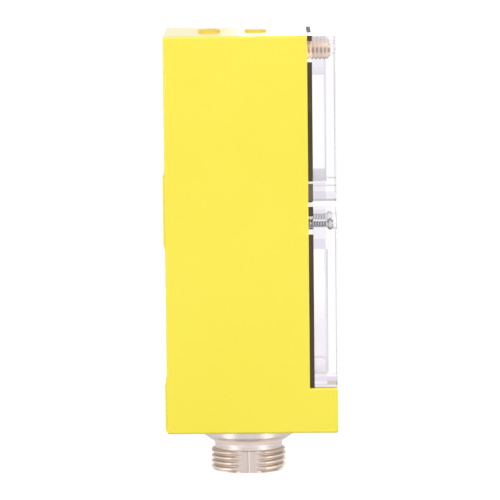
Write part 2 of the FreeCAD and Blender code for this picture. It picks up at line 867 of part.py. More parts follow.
def make_connector_locknut():
    """The hexagon nut that draws the connector up against the housing floor."""
    body = new_body("connector_locknut")
    hexagon = level(body, "inner_floor")
    flat = "(nut_across / 2)"
    corner = f"{flat} * tan({HEXAGON_HALF_ANGLE} deg)"
    tip = f"{flat} / cos({HEXAGON_HALF_ANGLE} deg)"
    corners = (
        (f"-{flat}", f"-{corner}"),
        ("0", f"-{tip}"),
        (flat, f"-{corner}"),
        (flat, corner),
        ("0", tip),
        (f"-{flat}", corner),
    )
    polygon(hexagon, [(f"connector_place + {x}", y) for x, y in corners])
    circle(hexagon, ("connector_place", "0"), "shank_width + 2 * fit_clearance")
    pad(body, hexagon, "nut_thick")
    return body


def pin_places():
    """The plan places of the five pins, even round the circle and clear of the key."""
    angles = [PIN_ANGLE * (step + 0.5) for step in range(PIN_COUNT)]
    return [(f"connector_place + pin_circle / 2 * cos({angle} deg)",
             f"pin_circle / 2 * sin({angle} deg)") for angle in angles]


def make_connector_insert():
    """The black insulator that fills the shank and carries the pins."""
    body = new_body("connector_insert")
    plug = level(body, "socket_top")
    circle(plug, ("connector_place", "0"), "insert_width - 2 * fit_clearance")
    for place in pin_places():
        circle(plug, place, "pin_width + 2 * fit_clearance")
    pad(body, plug, "shank_top - socket_top")
    return body


def make_connector_pins():
    """The five contact pins, round-nosed below and soldered to their board above."""
    made = []
    low = "(socket_top - pin_reach)"
    high = "connector_board_top"
    for index, (x, y) in enumerate(pin_places(), start=1):
        body = new_body(f"connector_pin_{index}")
        profile = up_axis(body, x, y)
        polygon(profile, [
            ("0", low),
            ("pin_width / 2 - pin_tip", low),
            ("pin_width / 2", f"{low} + pin_tip"),
            ("pin_width / 2", high),
            ("0", high),
        ])
        turn(body, "Revolution", profile, "V_Axis")
        made.append(body)
    return group("connector_pins", made)


def make_connector_board():
    """The small level board that the connector pins are soldered to."""
    body = new_body("connector_board")
    outline = level(body, "connector_board_bottom")
    rectangle(outline, ("connector_place - connector_board_length / 2", "-connector_board_width / 2"),
              ("connector_place + connector_board_length / 2", "connector_board_width / 2"))
    for place in pin_places():
        circle(outline, place, "pin_width + 2 * fit_clearance")
    pad(body, outline, "board_thick")
    return body


def make_board_link():
    """The header that joins the connector board to the back of the main board."""
    return new_box("board_link", ("board_back - link_thick", "-link_width / 2", "connector_board_top"),
                   ("board_back", "link_width / 2", "board_bottom + link_height"))


def make_indicator(label, place):
    """One amber lens: a low round cap on the top face with a stem through the wall."""
    body = new_body(label)
    profile = up_axis(body, place, "0")
    polygon(profile, [
        ("0", "indicator_stem_end"),
        ("indicator_stem / 2", "indicator_stem_end"),
        ("indicator_stem / 2", "top"),
        ("indicator_width / 2", "top"),
        ("indicator_width / 2", "top + indicator_rise - indicator_edge"),
        ("indicator_width / 2 - indicator_edge", "top + indicator_rise"),
        ("0", "top + indicator_rise"),
    ])
    turn(body, "Revolution", profile, "V_Axis")
    return body


def make_indicator_board():
    """The level board under the indicators, staked to two posts of the housing."""
    body = new_body("indicator_board")
    outline = level(body, "indicator_board_bottom")
    rectangle(outline, ("indicator_place - indicator_board_margin", "-indicator_board_width / 2"),
              ("indicator_place + indicator_spacing + indicator_board_margin", "indicator_board_width / 2"))
    for side in SIDES:
        place = ("indicator_middle", f"{side} * stake_spacing / 2")
        circle(outline, place, "stake_width + 2 * fit_clearance")
    pad(body, outline, "indicator_board_thick")
    return body


def make_indicator_link():
    """The header that joins the indicator board to the back of the main board."""
    low = ("board_back - link_thick", "-link_width / 2", "board_top - link_height")
    return new_box("indicator_link", low, ("board_back", "link_width / 2", "indicator_board_bottom"))


def make_indicator_diodes():
    """The two light diodes that shine up through the indicator stems."""
    made = []
    for step in range(2):
        body = new_body(f"indicator_diode_{step + 1}")
        profile = up_axis(body, f"indicator_place + {step} * indicator_spacing", "0")
        crown = "(indicator_stem_end - fit_clearance)"
        polygon(profile, [
            ("0", "indicator_board_top"),
            ("diode_flange / 2", "indicator_board_top"),
            ("diode_flange / 2", "indicator_board_top + diode_flange_thick"),
            ("diode_width / 2", "indicator_board_top + diode_flange_thick"),
            ("diode_width / 2", f"{crown} - diode_crown"),
            ("diode_width / 2 - diode_crown", crown),
            ("0", crown),
        ])
        turn(body, "Revolution", profile, "V_Axis")
        made.append(body)
    return group("indicator_diodes", made)


def make_mounting_inserts():
    """The four tapped brass inserts in the rear pads, each with a retaining groove."""
    made = []
    outer = "mount_insert_width / 2"
    groove_start = "(mount_insert_length - mount_groove_length) / 2"
    groove_end = "(mount_insert_length + mount_groove_length) / 2"
    for side, row_side in ((y, z) for y in SIDES for z in SIDES):
        body = new_body(f"mounting_insert_{len(made) + 1}")
        profile = along_axis(body, f"{side} * mount_pitch_y / 2", f"{row_side} * mount_pitch_z / 2")
        polygon(profile, [
            ("0", "mount_bore / 2"),
            ("mount_insert_length", "mount_bore / 2"),
            ("mount_insert_length", outer),
            (groove_end, outer),
            (groove_end, f"{outer} - mount_groove_depth"),
            (groove_start, f"{outer} - mount_groove_depth"),
            (groove_start, outer),
            ("0", outer),
        ])
        turn(body, "Revolution", profile, "H_Axis")
        made.append(body)
    return group("mounting_inserts", made)


nodes = [
    make_housing(),
    make_upper_gasket(),
    make_lip_pads(),
    make_lower_gasket(),
    make_upper_cover(),
    make_lower_cover(),
    make_cover_bushes(),
    make_cover_screws(),
    make_optics_carrier(),
    make_lenses("lower_lenses", "lower_beam_z"),
    make_lenses("upper_lenses", "upper_beam_z"),
    make_photodiodes(),
    make_main_board(),
    make_board_screws(),
    make_processor_chip(),
    make_amplifier_shield(),
    make_supply_capacitors(),
    make_connector_shell(),
    make_connector_seal(),
    make_connector_locknut(),
    make_connector_insert(),
    make_connector_pins(),
    make_connector_board(),
    make_board_link(),
    make_indicator("power_indicator", "indicator_place"),
    make_indicator("beam_indicator", "indicator_place + indicator_spacing"),
    make_indicator_board(),
    make_indicator_link(),
    make_indicator_diodes(),
    make_mounting_inserts(),
]
doc.recompute()

for item in doc.Objects:
    if {"Invalid", "Error"} & set(item.State):
        raise RuntimeError(f"{item.Label} failed: {item.State}")
for node in nodes:
    if node.Shape.isNull() or not node.Shape.isValid():
        raise RuntimeError(f"{node.Label} has no sound shape")

os.makedirs("parts", exist_ok=True)
for node in nodes:
    node.Shape.exportStep(f"parts/{node.Label}.step")
    print(f"{node.Label}: {len(node.Shape.Solids)} solid, {node.Shape.Volume:.1f} mm3")
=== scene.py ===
"""Studio scene of a light screen receiver: a yellow housing, two clear covers and a threaded connector.

Everything is in metres in the part's own frame: the rear pad plane is x = 0, +X points out of the
clear covers and +Z is up. Only the finishes give their lengths in millimetres.
"""
from __future__ import annotations

import logging
import math
from collections.abc import Callable, Iterable, Sequence
from dataclasses import dataclass, field
from enum import Enum

import bpy
from mathutils import Matrix, Vector

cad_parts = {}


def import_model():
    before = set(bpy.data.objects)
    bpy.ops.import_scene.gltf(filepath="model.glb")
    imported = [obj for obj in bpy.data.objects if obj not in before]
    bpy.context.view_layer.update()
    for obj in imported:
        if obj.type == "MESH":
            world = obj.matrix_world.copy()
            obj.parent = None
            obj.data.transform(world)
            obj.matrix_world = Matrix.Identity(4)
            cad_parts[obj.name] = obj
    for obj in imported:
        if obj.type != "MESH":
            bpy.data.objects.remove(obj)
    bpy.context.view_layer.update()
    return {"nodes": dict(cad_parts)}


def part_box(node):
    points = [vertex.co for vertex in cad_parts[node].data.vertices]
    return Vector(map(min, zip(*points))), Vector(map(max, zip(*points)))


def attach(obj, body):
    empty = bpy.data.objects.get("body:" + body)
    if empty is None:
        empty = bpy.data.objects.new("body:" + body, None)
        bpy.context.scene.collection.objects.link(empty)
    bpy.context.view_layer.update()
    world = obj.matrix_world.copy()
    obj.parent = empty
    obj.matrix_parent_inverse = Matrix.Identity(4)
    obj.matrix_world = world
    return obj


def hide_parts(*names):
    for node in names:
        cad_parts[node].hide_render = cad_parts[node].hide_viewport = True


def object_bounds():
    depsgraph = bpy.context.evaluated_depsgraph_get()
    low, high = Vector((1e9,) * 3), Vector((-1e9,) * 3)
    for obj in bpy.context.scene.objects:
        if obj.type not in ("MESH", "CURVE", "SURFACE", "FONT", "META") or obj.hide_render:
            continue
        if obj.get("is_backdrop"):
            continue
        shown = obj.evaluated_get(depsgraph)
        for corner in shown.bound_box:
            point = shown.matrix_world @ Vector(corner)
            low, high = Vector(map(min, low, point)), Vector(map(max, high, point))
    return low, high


LOG = logging.getLogger("light_screen_receiver")
MM = 0.001
HAIR = 0.02 * MM
MERGE_DISTANCE = 0.0005 * MM
BEND_STEPS = 4
NODE_STEP = 220.0
SIDES = (-1, 1)
UNIT = (0.0, 1.0)
RISE = (0.0, 1.0)
FALL = (1.0, 0.0)
WHITE = (1.0, 1.0, 1.0)
BLACK = (0.0, 0.0, 0.0)
CONNECTOR_AXIS = 24.35 * MM

Triple = tuple[float, float, float]
Colour = Triple
Span = tuple[float, float]
Piece = bpy.types.Object
Socket = bpy.types.NodeSocket
Feed = Socket | float | Triple


def smooth_step(share: float) -> float:
    """Ease a share from 0 to 1 with level ends."""
    held = min(1.0, max(0.0, share))
    return held * held * (3.0 - 2.0 * held)


def mm(*lengths: float) -> tuple[float, ...]:
    """Give lengths in millimetres as metres."""
    return tuple(length * MM for length in lengths)


class Axis(Enum):
    """The axis that a turned piece goes round."""

    ALONG_X = (1.0, 0.0, 0.0)
    UP_Z = (0.0, 0.0, 1.0)

    def spot(self, centre: Vector, along: float, radius: float, angle: float = 0.0) -> Vector:
        """Give the point at a distance along the axis, a radius off it and an angle round it.

        Args:
            centre: A point that the axis passes through.
            along: The coordinate along the axis.
            radius: The distance from the axis.
            angle: The angle round the axis in radians.

        Returns:
            The point in the part's frame.
        """
        across = radius * math.cos(angle)
        aside = radius * math.sin(angle)
        if self is Axis.ALONG_X:
            return Vector((along, centre.y + across, centre.z + aside))
        return Vector((centre.x + across, centre.y + aside, along))

    def polar(self, centre: Vector, point: Vector) -> Triple:
        """Give a point's distance along the axis, its radius and its angle.

        Args:
            centre: A point that the axis passes through.
            point: The point in the part's frame.

        Returns:
            The coordinate along the axis, the radius and the angle in radians.
        """
        if self is Axis.ALONG_X:
            along, across, aside = point.x, point.y - centre.y, point.z - centre.z
        else:
            along, across, aside = point.z, point.x - centre.x, point.y - centre.y
        return along, math.hypot(across, aside), math.atan2(aside, across)


class Tooling(Enum):
    """What a tool does to a piece."""

    CUT = "DIFFERENCE"
    WELD = "UNION"


@dataclass(frozen=True)
class Corner:
    """One corner of a turned profile: its place, its rounding and the rows up to the next corner."""

    along: float
    radius: float
    ease: float = 0.0
    rows: int = 1


@dataclass(frozen=True)
class Thread:
    """A round-crested screw thread cut into a turned surface."""

    pitch: float
    depth: float
    start: float
    end: float
    run_out: float
    turn: float = 0.0
    crest_share: float = 0.22
    root_share: float = 0.18

    def cut(self, along: float, angle: float) -> float:
        """Give how deep the groove is at one place.

        Args:
            along: The coordinate along the axis.
            angle: The angle round the axis in radians.

        Returns:
            The depth below the crest.
        """
        if not self.start <= along <= self.end:
            return 0.0
        phase = (along / self.pitch - angle / math.tau - self.turn) % 1.0
        height = abs(2.0 * phase - 1.0)
        rise = smooth_step((height - self.root_share) / (1.0 - self.root_share - self.crest_share))
        from_end = min(along - self.start, self.end - along)
        return self.depth * (1.0 - rise) * smooth_step(from_end / self.run_out)


class Bench:
    """The steps of modelling by hand, through Blender's operators."""

    @staticmethod
    def clear() -> None:
        """Leave edit mode and deselect everything."""
        if bpy.context.mode != "OBJECT":
            bpy.ops.object.mode_set(mode="OBJECT")
        bpy.ops.object.select_all(action="DESELECT")

    @staticmethod
    def pick(piece: Piece) -> None:
        """Make one piece the only selected and active one.

        Args:
            piece: The piece.
        """
        Bench.clear()
        piece.select_set(True)
        bpy.context.view_layer.objects.active = piece

    @staticmethod
    def name(label: str) -> Piece:
        """Name the active object and its mesh.

        Args:
            label: The name.

        Returns:
            The object.
        """
        piece = bpy.context.object
        piece.name = label
        piece.data.name = label
        return piece

    @staticmethod
    def block(label: str, low: Sequence[float], high: Sequence[float]) -> Piece:
        """Add a block between two corners, with its place in its mesh.

        Args:
            label: The block's name.
            low: Its lowest corner.
            high: Its highest corner.

        Returns:
            The new block.
        """
        Bench.clear()
        start, end = Vector(low), Vector(high)
        bpy.ops.mesh.primitive_cube_add(size=1.0, location=(start + end) / 2, scale=end - start)
        piece = Bench.name(label)
        bpy.ops.object.transform_apply(location=True, rotation=True, scale=True)
        return piece

    @staticmethod
    def ease_edges(
        piece: Piece, width: float, steps: int, wanted: Callable[[Vector, Vector], bool]
    ) -> None:
        """Round the edges that a test picks by their two ends.

        Args:
            piece: The piece to shape.
            width: How far the rounding reaches from the edge.
            steps: The segments of the rounding.
            wanted: The test of an edge's two end points.
        """
        Bench.pick(piece)
        bpy.ops.object.mode_set(mode="EDIT")
        bpy.ops.mesh.select_mode(type="EDGE")
        bpy.ops.mesh.select_all(action="DESELECT")
        bpy.ops.object.mode_set(mode="OBJECT")
        points = piece.data.vertices
        for edge in piece.data.edges:
            first, second = edge.vertices
            edge.select = wanted(points[first].co, points[second].co)
        bpy.ops.object.mode_set(mode="EDIT")
        bpy.ops.mesh.bevel(offset=width, segments=steps, profile=0.5, affect="EDGES")
        bpy.ops.object.mode_set(mode="OBJECT")

    @staticmethod
    def close_up(piece: Piece) -> None:
        """Merge a piece's doubled points and turn its faces outwards.

        Args:
            piece: The piece.
        """
        if bpy.context.mode != "EDIT_MESH":
            Bench.pick(piece)
            bpy.ops.object.mode_set(mode="EDIT")
        bpy.ops.mesh.select_all(action="SELECT")
        bpy.ops.mesh.remove_doubles(threshold=MERGE_DISTANCE)
        bpy.ops.mesh.normals_make_consistent(inside=False)
        bpy.ops.object.mode_set(mode="OBJECT")

    @staticmethod
    def combine(piece: Piece, tool: Piece, tooling: Tooling) -> None:
        """Cut a tool out of a piece or weld it on, and throw the tool away.

        Args:
            piece: The piece that stays.
            tool: The cutter, or the part to weld on.
            tooling: Which of the two.
        """
        Bench.pick(piece)
        change = piece.modifiers.new("combine", "BOOLEAN")
        change.operation = tooling.value
        change.solver = "EXACT"
        change.object = tool
        bpy.ops.object.modifier_apply(modifier=change.name)
        mesh = tool.data
        bpy.data.objects.remove(tool)
        bpy.data.meshes.remove(mesh)

    @staticmethod
    def join(piece: Piece, others: Iterable[Piece]) -> None:
        """Make several pieces one object.

        Args:
            piece: The piece that keeps its name.
            others: The pieces that it takes in.
        """
        Bench.pick(piece)
        for other in others:
            other.select_set(True)
        bpy.ops.object.join()

    @staticmethod
    def copy(piece: Piece, label: str, shift: Vector) -> Piece:
        """Copy a piece with a mesh of its own, moved by a shift that goes into the mesh.

        Args:
            piece: The piece to copy.
            label: The copy's name.
            shift: How far the copy moves.

        Returns:
            The copy.
        """
        Bench.pick(piece)
        bpy.ops.object.duplicate(linked=False)
        other = Bench.name(label)
        bpy.ops.transform.translate(value=shift)
        bpy.ops.object.transform_apply(location=True, rotation=True, scale=True)
        return other

    @staticmethod
    def smooth(piece: Piece, degrees: float) -> None:
        """Shade a piece smooth up to an angle between faces."""
        Bench.pick(piece)
        bpy.ops.object.shade_smooth_by_angle(angle=math.radians(degrees))

    @staticmethod
    def level_normals(piece: Piece) -> None:
        """Keep a piece's flat faces optically flat beside their rounded edges.

        Args:
            piece: The piece.
        """
        Bench.pick(piece)
        change = piece.modifiers.new("level", "WEIGHTED_NORMAL")
        change.keep_sharp = True
        bpy.ops.object.modifier_apply(modifier=change.name)


@dataclass(frozen=True)
class Lathe:
    """An axis that pieces are turned round, and the segments of a turn."""

    axis: Axis
    centre: Vector
    steps: int

    @staticmethod
    def profile(corners: Sequence[Corner], closed: bool) -> list[Vector]:
        """Round a profile's corners and divide its long runs.

        Args:
            corners: The corners in order.
            closed: Whether the last corner joins the first.

        Returns:
            The points along the profile, each a distance along the axis and a radius.
        """
        points: list[Vector] = []
        places = [Vector((corner.along, corner.radius)) for corner in corners]
        for index, (corner, here) in enumerate(zip(corners, places)):
            after = places[(index + 1) % len(places)]
            if corner.ease and (closed or 0 < index < len(places) - 1):
                back, on = places[index - 1] - here, after - here
                first = here + back.normalized() * min(corner.ease, back.length / 2)
                last = here + on.normalized() * min(corner.ease, on.length / 2)
                for step in range(BEND_STEPS + 1):
                    share = step / BEND_STEPS
                    points.append(first.lerp(here, share).lerp(here.lerp(last, share), share))
            else:
                points.append(here)
            points += [here.lerp(after, row / corner.rows) for row in range(1, corner.rows)]
        return points + points[:1] if closed else points

    def turned(self, label: str, corners: Sequence[Corner], closed: bool = False) -> Piece:
        """Draw a profile point by point and spin it right round the axis.

        Args:
            label: The piece's name.
            corners: The profile's corners.
            closed: Whether the profile is a closed outline.

        Returns:
            The new piece.
        """
        Bench.clear()
        spots = [self.axis.spot(self.centre, *point) for point in self.profile(corners, closed)]
        bpy.ops.mesh.primitive_plane_add(size=MM, location=(0.0, 0.0, 0.0))
        piece = Bench.name(label)
        bpy.ops.object.mode_set(mode="EDIT")
        bpy.ops.mesh.select_mode(type="VERT")
        bpy.ops.mesh.select_all(action="SELECT")
        bpy.ops.mesh.merge(type="CENTER")
        bpy.ops.transform.translate(value=spots[0])
        for here, there in zip(spots, spots[1:]):
            bpy.ops.mesh.extrude_vertices_move(TRANSFORM_OT_translate={"value": there - here})
        bpy.ops.mesh.select_all(action="SELECT")
        bpy.ops.mesh.spin(steps=self.steps, angle=math.tau, center=self.centre, axis=self.axis.value)
        Bench.close_up(piece)
        return piece

    def cut_thread(self, piece: Piece, thread: Thread, crest: float, outward: bool = False) -> None:
        """Sink a thread's groove into the rows of a turned surface.

        Args:
            piece: The turned piece.
            thread: The thread's form.
            crest: The radius of the surface.
            outward: Whether the groove goes away from the axis, as in a tapped hole.
        """
        way = 1.0 if outward else -1.0
        for point in piece.data.vertices:
            along, radius, angle = self.axis.polar(self.centre, point.co)
            if crest - HAIR <= radius <= crest + HAIR:
                sunk = radius + way * thread.cut(along, angle)
                point.co = self.axis.spot(self.centre, along, sunk, angle)
        piece.data.update()


class Wiring:
    """A node tree while it is being wired."""

    def __init__(self, tree: bpy.types.NodeTree) -> None:
        """Hold the tree."""
        self.tree = tree

    def feed(self, target: Socket, value: Feed) -> None:
        """Give an input its value.

        Args:
            target: The input.
            value: A socket to link, or a plain number, vector or colour.
        """
        if isinstance(value, Socket):
            self.tree.links.new(value, target)
        else:
            target.default_value = (*value, 1.0) if target.type == "RGBA" else value

    def add(
        self, kind: str, feeds: dict[str | int, Feed] | None = None, **settings: object
    ) -> bpy.types.Node:
        """Add a node.

        Args:
            kind: The node's type.
            feeds: What goes into its inputs, by their names or numbers.
            **settings: The properties to set.

        Returns:
            The node.
        """
        node = self.tree.nodes.new(kind)
        node.location.x = NODE_STEP * len(self.tree.nodes)
        for name, value in settings.items():
            setattr(node, name, value)
        for name, value in (feeds or {}).items():
            self.feed(node.inputs[name], value)
        return node

    def math(self, operation: str, *values: Socket | float) -> Socket:
        """Work something out from sockets and numbers."""
        return self.add("ShaderNodeMath", dict(enumerate(values)), operation=operation).outputs[0]

    def times(self, first: Socket | float, second: Socket | float) -> Socket:
        """Multiply two values."""
        return self.math("MULTIPLY", first, second)

    def off(self, value: Socket, middle: float) -> Socket:
        """Give how far a value is from a middle."""
        return self.math("ABSOLUTE", self.math("SUBTRACT", value, middle))

    def span(self, first: Socket, second: Socket) -> Socket:
        """Give the length of two distances at right angles."""
        squares = self.math("ADD", self.math("POWER", first, 2.0), self.math("POWER", second, 2.0))
        return self.math("SQRT", squares)

    def split(self, vector: Socket) -> tuple[Socket, ...]:
        """Give a vector's X, Y and Z."""
        return tuple(self.add("ShaderNodeSeparateXYZ", {0: vector}).outputs)

    def spread(self, value: Socket, source: Span, target: Span) -> Socket:
        """Map a value from one range to another, held at the ends."""
        feeds = dict(enumerate((value, *source, *target)))
        return self.add("ShaderNodeMapRange", feeds, clamp=True).outputs[0]

    def window(self, value: Socket, ends: Span, fade: float, most: float = 1.0) -> Socket:
        """Give a share that is full between two ends and fades to nothing beyond them.

        Args:
            value: The value to test.
            ends: The two ends.
            fade: Half the width of each fade.
            most: The full share.

        Returns:
            The share.
        """
        low, high = ends
        start = self.spread(value, (low - fade, low + fade), (0.0, most))
        return self.times(start, self.spread(value, (high - fade, high + fade), FALL))

    def blend(self, share: Socket | float, first: Socket | Colour, second: Socket | Colour) -> Socket:
        """Mix a share of a second colour into a first."""
        return self.add("ShaderNodeMix", {"Factor": share, 6: first, 7: second}, data_type="RGBA").outputs[2]

    def noise(self, place: Socket, scale: Socket | float, detail: float) -> Socket:
        """Give a noise with so many cells in a metre and so many finer layers."""
        feeds = {"Vector": place, "Scale": scale, "Detail": detail}
        return self.add("ShaderNodeTexNoise", feeds).outputs["Fac"]


class Effect(Enum):
    """The surface effects that several finishes share, each a node group."""

    SKIN = "moulded_skin"
    SCUFFS = "handling_scuffs"
    RINGS = "turning_rings"

    def group(self) -> bpy.types.NodeTree:
        """Give the effect's node group, made on its first use.

        Returns:
            The group.
        """
        made = bpy.data.node_groups.get(self.value)
        if made is None:
            made = bpy.data.node_groups.new(self.value, "ShaderNodeTree")
            {Effect.SKIN: wire_skin, Effect.SCUFFS: wire_scuffs, Effect.RINGS: wire_rings}[self](made)
        return made


def open_group(
    tree: bpy.types.NodeTree, inputs: dict[str, float], outputs: Iterable[str]
) -> tuple[Wiring, bpy.types.NodeOutputs, bpy.types.NodeInputs]:
    """Give a group its place input, its number inputs and its outputs.

    Args:
        tree: The group.
        inputs: The number inputs and their usual values.
        outputs: The outputs.

    Returns:
        The group's wiring, what it is given and what it gives.
    """
    tree.interface.new_socket("Place", in_out="INPUT", socket_type="NodeSocketVector")
    for name, usual in inputs.items():
        tree.interface.new_socket(name, in_out="INPUT", socket_type="NodeSocketFloat").default_value = usual
    for name in outputs:
        tree.interface.new_socket(name, in_out="OUTPUT", socket_type="NodeSocketFloat")
    wiring = Wiring(tree)
    return wiring, wiring.add("NodeGroupInput").outputs, wiring.add("NodeGroupOutput").inputs


def wire_skin(tree: bpy.types.NodeTree) -> None:
    """Wire the skin of a moulding: a fine even grain and a slow drift of shade.

    Args:
        tree: The group.
    """
    details = {"Grain": 2.0, "Drift": 3.0}
    usual_values = (0.3, 0.7)
    wiring, given, gives = open_group(tree, {"Grain Size": 0.3 * MM, "Drift Size": 20 * MM}, details)
    for name, detail in details.items():
        scale = wiring.math("DIVIDE", 1.0, given[f"{name} Size"])
        noise = wiring.noise(given["Place"], scale, detail)
        wiring.feed(gives[name], wiring.spread(noise, usual_values, RISE))


def wire_scuffs(tree: bpy.types.NodeTree) -> None:
    """Wire faint rubbed streaks, long one way and thin the other, gathered in patches.

    Args:
        tree: The group.
    """
    streak_lean, streak_stretch = (0.5, 0.4, 0.9), (1.0, 0.06, 1.0)
    patches_per_metre = 60.0
    wiring, given, gives = open_group(tree, {"Streak Size": 1.2 * MM}, ("Scuff",))
    scale = wiring.math("DIVIDE", 1.0, given["Streak Size"])
    feeds = {"Vector": given["Place"], "Rotation": streak_lean, "Scale": streak_stretch}
    lean = wiring.add("ShaderNodeMapping", feeds).outputs["Vector"]
    streaks = wiring.spread(wiring.noise(lean, scale, 2.0), (0.66, 0.74), RISE)
    patches = wiring.spread(wiring.noise(given["Place"], patches_per_metre, 1.0), (0.5, 0.65), RISE)
    wiring.feed(gives["Scuff"], wiring.times(streaks, patches))


def wire_rings(tree: bpy.types.NodeTree) -> None:
    """Wire the fine rings that a turning tool leaves, spaced along the X of the place.

    Args:
        tree: The group.
    """
    breaks_per_metre = 900.0
    wiring, given, gives = open_group(tree, {"Ring Pitch": 0.12 * MM}, ("Ring",))
    along, _y, _z = wiring.split(given["Place"])
    turns = wiring.math("DIVIDE", along, given["Ring Pitch"])
    wave = wiring.math("SINE", wiring.times(turns, math.tau))
    uneven = wiring.noise(given["Place"], breaks_per_metre, 2.0)
    wiring.feed(gives["Ring"], wiring.times(wiring.spread(wave, (-1.0, 1.0), RISE), uneven))


class Surface(Wiring):
    """A material while it is being wired, with its shader and the surface's own coordinates."""

    def __init__(self, material: bpy.types.Material) -> None:
        """Hold the shader, and add the coordinates.

        Args:
            material: The material.
        """
        material.use_nodes = True
        super().__init__(material.node_tree)
        self.shader = self.tree.nodes["Principled BSDF"]
        self.place = self.add("ShaderNodeTexCoord").outputs["Object"]
        self.masks: dict[str, Socket] = {}

    def effect(self, kind: Effect, values: dict[str, float] | None = None) -> bpy.types.NodeOutputs:
        """Place a shared effect with its number inputs, and give its outputs."""
        feeds = {"Place": self.place, **(values or {})}
        return self.add("ShaderNodeGroup", feeds, node_tree=kind.group()).outputs

    def facing(self) -> tuple[Socket, ...]:
        """Give the X, Y and Z of the way that the surface faces."""
        return self.split(self.add("ShaderNodeNewGeometry").outputs["Normal"])

    def bump(self, height: Socket, depth: float) -> Socket:
        """Give the surface's normals with small heights on it."""
        feeds = {"Strength": 1.0, "Distance": depth, "Height": height}
        return self.add("ShaderNodeBump", feeds).outputs["Normal"]

    def put(self, feeds: dict[str, Feed]) -> None:
        """Feed the shader's inputs."""
        for name, value in feeds.items():
            self.feed(self.shader.inputs[name], value)


@dataclass(frozen=True)
class Finish:
    """A surface finish: two close shades, a grain that makes the gloss uneven, and scuffs."""

    label: str
    shade: Colour
    drift_shade: Colour
    gloss: Span
    grain_size: float
    grain_depth: float
    drift_size: float
    scuff_shade: Colour | None = None
    scuff_share: float = 0.35
    metallic: float = 0.0
    coat: float = 0.0
    coat_roughness: float = 0.1
    ior: float = 1.5
    specular: float = 0.5
    ring_pitch: float = 0.0
    # Painted shade at grazing angles: a painted dark reflection along a piece's rims.
    painted_rim_shade: Colour | None = None
    rim_range: Span = (0.6, 0.9)
    variant: str = ""

    def make(self) -> bpy.types.Material:
        """Give the finish's material, made on its first use.

        Returns:
            The material.
        """
        name = f"{self.label}{self.variant}_finish"
        made = bpy.data.materials.get(name)
        if made is None:
            made = bpy.data.materials.new(name)
            self.wire(Surface(made))
        return made

    def skin(self, surface: Surface) -> bpy.types.NodeOutputs:
        """Place the grain and drift of the finish."""
        sizes = {"Grain Size": self.grain_size * MM, "Drift Size": self.drift_size * MM}
        return surface.effect(Effect.SKIN, sizes)

    def wire(self, surface: Surface) -> None:
        """Wire the material's nodes.

        Args:
            surface: The material.
        """
        surface.masks = self.masks(surface)
        skin = self.skin(surface)
        colour = surface.blend(skin["Drift"], self.shade, self.drift_shade)
        height = skin["Grain"]
        if self.scuff_shade is not None:
            share = surface.times(surface.effect(Effect.SCUFFS)["Scuff"], self.scuff_share)
            colour = surface.blend(share, colour, self.scuff_shade)
        if self.ring_pitch:
            rings = surface.effect(Effect.RINGS, {"Ring Pitch": self.ring_pitch * MM})
            height = surface.math("ADD", height, rings["Ring"])
        # Painted shade: darker towards grazing angles, standing in for the dark reflections on rounded metal.
        if self.painted_rim_shade is not None:
            rim = surface.add("ShaderNodeLayerWeight").outputs["Facing"]
            colour = surface.blend(surface.spread(rim, self.rim_range, RISE), colour, self.painted_rim_shade)
        surface.put({
            "Base Color": self.shaded(surface, colour),
            "Roughness": self.glossed(surface, surface.spread(skin["Grain"], UNIT, self.gloss)),
            "Normal": surface.bump(height, self.grain_depth * MM),
            "Metallic": self.metallic,
            "IOR": self.ior,
            "Specular IOR Level": self.specular,
            "Coat Weight": self.coat,
            "Coat Roughness": self.coat_roughness,
        })

    def masks(self, surface: Surface) -> dict[str, Socket]:
        """Find what this kind of finish treats apart, each as a share by its name: here, nothing."""
        return {}

    def shaded(self, surface: Surface, colour: Socket) -> Socket:
        """Give the colour with what is special to this kind of finish: here, nothing more."""
        return colour

    def glossed(self, surface: Surface, roughness: Socket) -> Socket:
        """Give the roughness with what is special to this kind of finish: here, nothing more."""
        return roughness


@dataclass(frozen=True)
class PaintedReflectionBelt:
    """A belt of painted reflection along a turned piece: a painted shade between two heights given as shares
    of its radius.
    """

    ends: Span
    shade: Colour
    share: float
    fade: float = 0.12


@dataclass(frozen=True)
class ThreadFinish(Finish):
    """Turned metal with painted shade in its thread grooves, belts of painted reflection and a painted glow,
    round two axes along X that mirror each other.
    """

    groove_shade: Colour = (0.5, 0.4, 0.3)
    groove_radii: Span = (0.0, 1.0)
    groove_lean: Span = (0.2, 0.5)
    groove_ends: float = 1.0
    glow: float = 0.0
    far_glow: float = 0.0
    axis_y: float = 0.0
    axis_z: float = 0.0
    belts: tuple[PaintedReflectionBelt, ...] = ()

    def shaded(self, surface: Surface, colour: Socket) -> Socket:
        """Paint shade into the grooves by their distance from the axis, paint the reflection belts, and add a
        painted glow that stands in for the light that the cover pipes in.

        Args:
            surface: The material.
            colour: The colour so far.

        Returns:
            The colour with the painted groove shade and reflection belts.
        """
        _x, y, z = surface.split(surface.place)
        across = surface.math("SUBTRACT", surface.math("ABSOLUTE", y), self.axis_y * MM)
        above = surface.math("SUBTRACT", z, self.axis_z * MM)
        off_axis = surface.span(across, above)
        # Painted shade in the grooves by their distance from the axis, faded where the surface leans up or
        # down.
        sunk = surface.spread(off_axis, mm(*self.groove_radii), FALL)
        lean = surface.math("DIVIDE", above, off_axis)
        tilt = surface.math("ABSOLUTE", lean)
        sideways = surface.spread(tilt, self.groove_lean, (1.0, self.groove_ends))
        # Painted reflection: belt-shaped painted shade across the turned surface.
        for belt in self.belts:
            share = surface.window(lean, belt.ends, belt.fade, belt.share)
            colour = surface.blend(share, colour, belt.shade)
        colour = surface.blend(surface.times(sunk, sideways), colour, self.groove_shade)
        # Painted glow: the piece emits its own colour, at one strength on the near side and another on the
        # far side, standing in for light piped through the cover.
        glow = surface.spread(y, (-MM, MM), (self.glow, self.far_glow))
        surface.put({"Emission Color": colour, "Emission Strength": glow})
        return colour


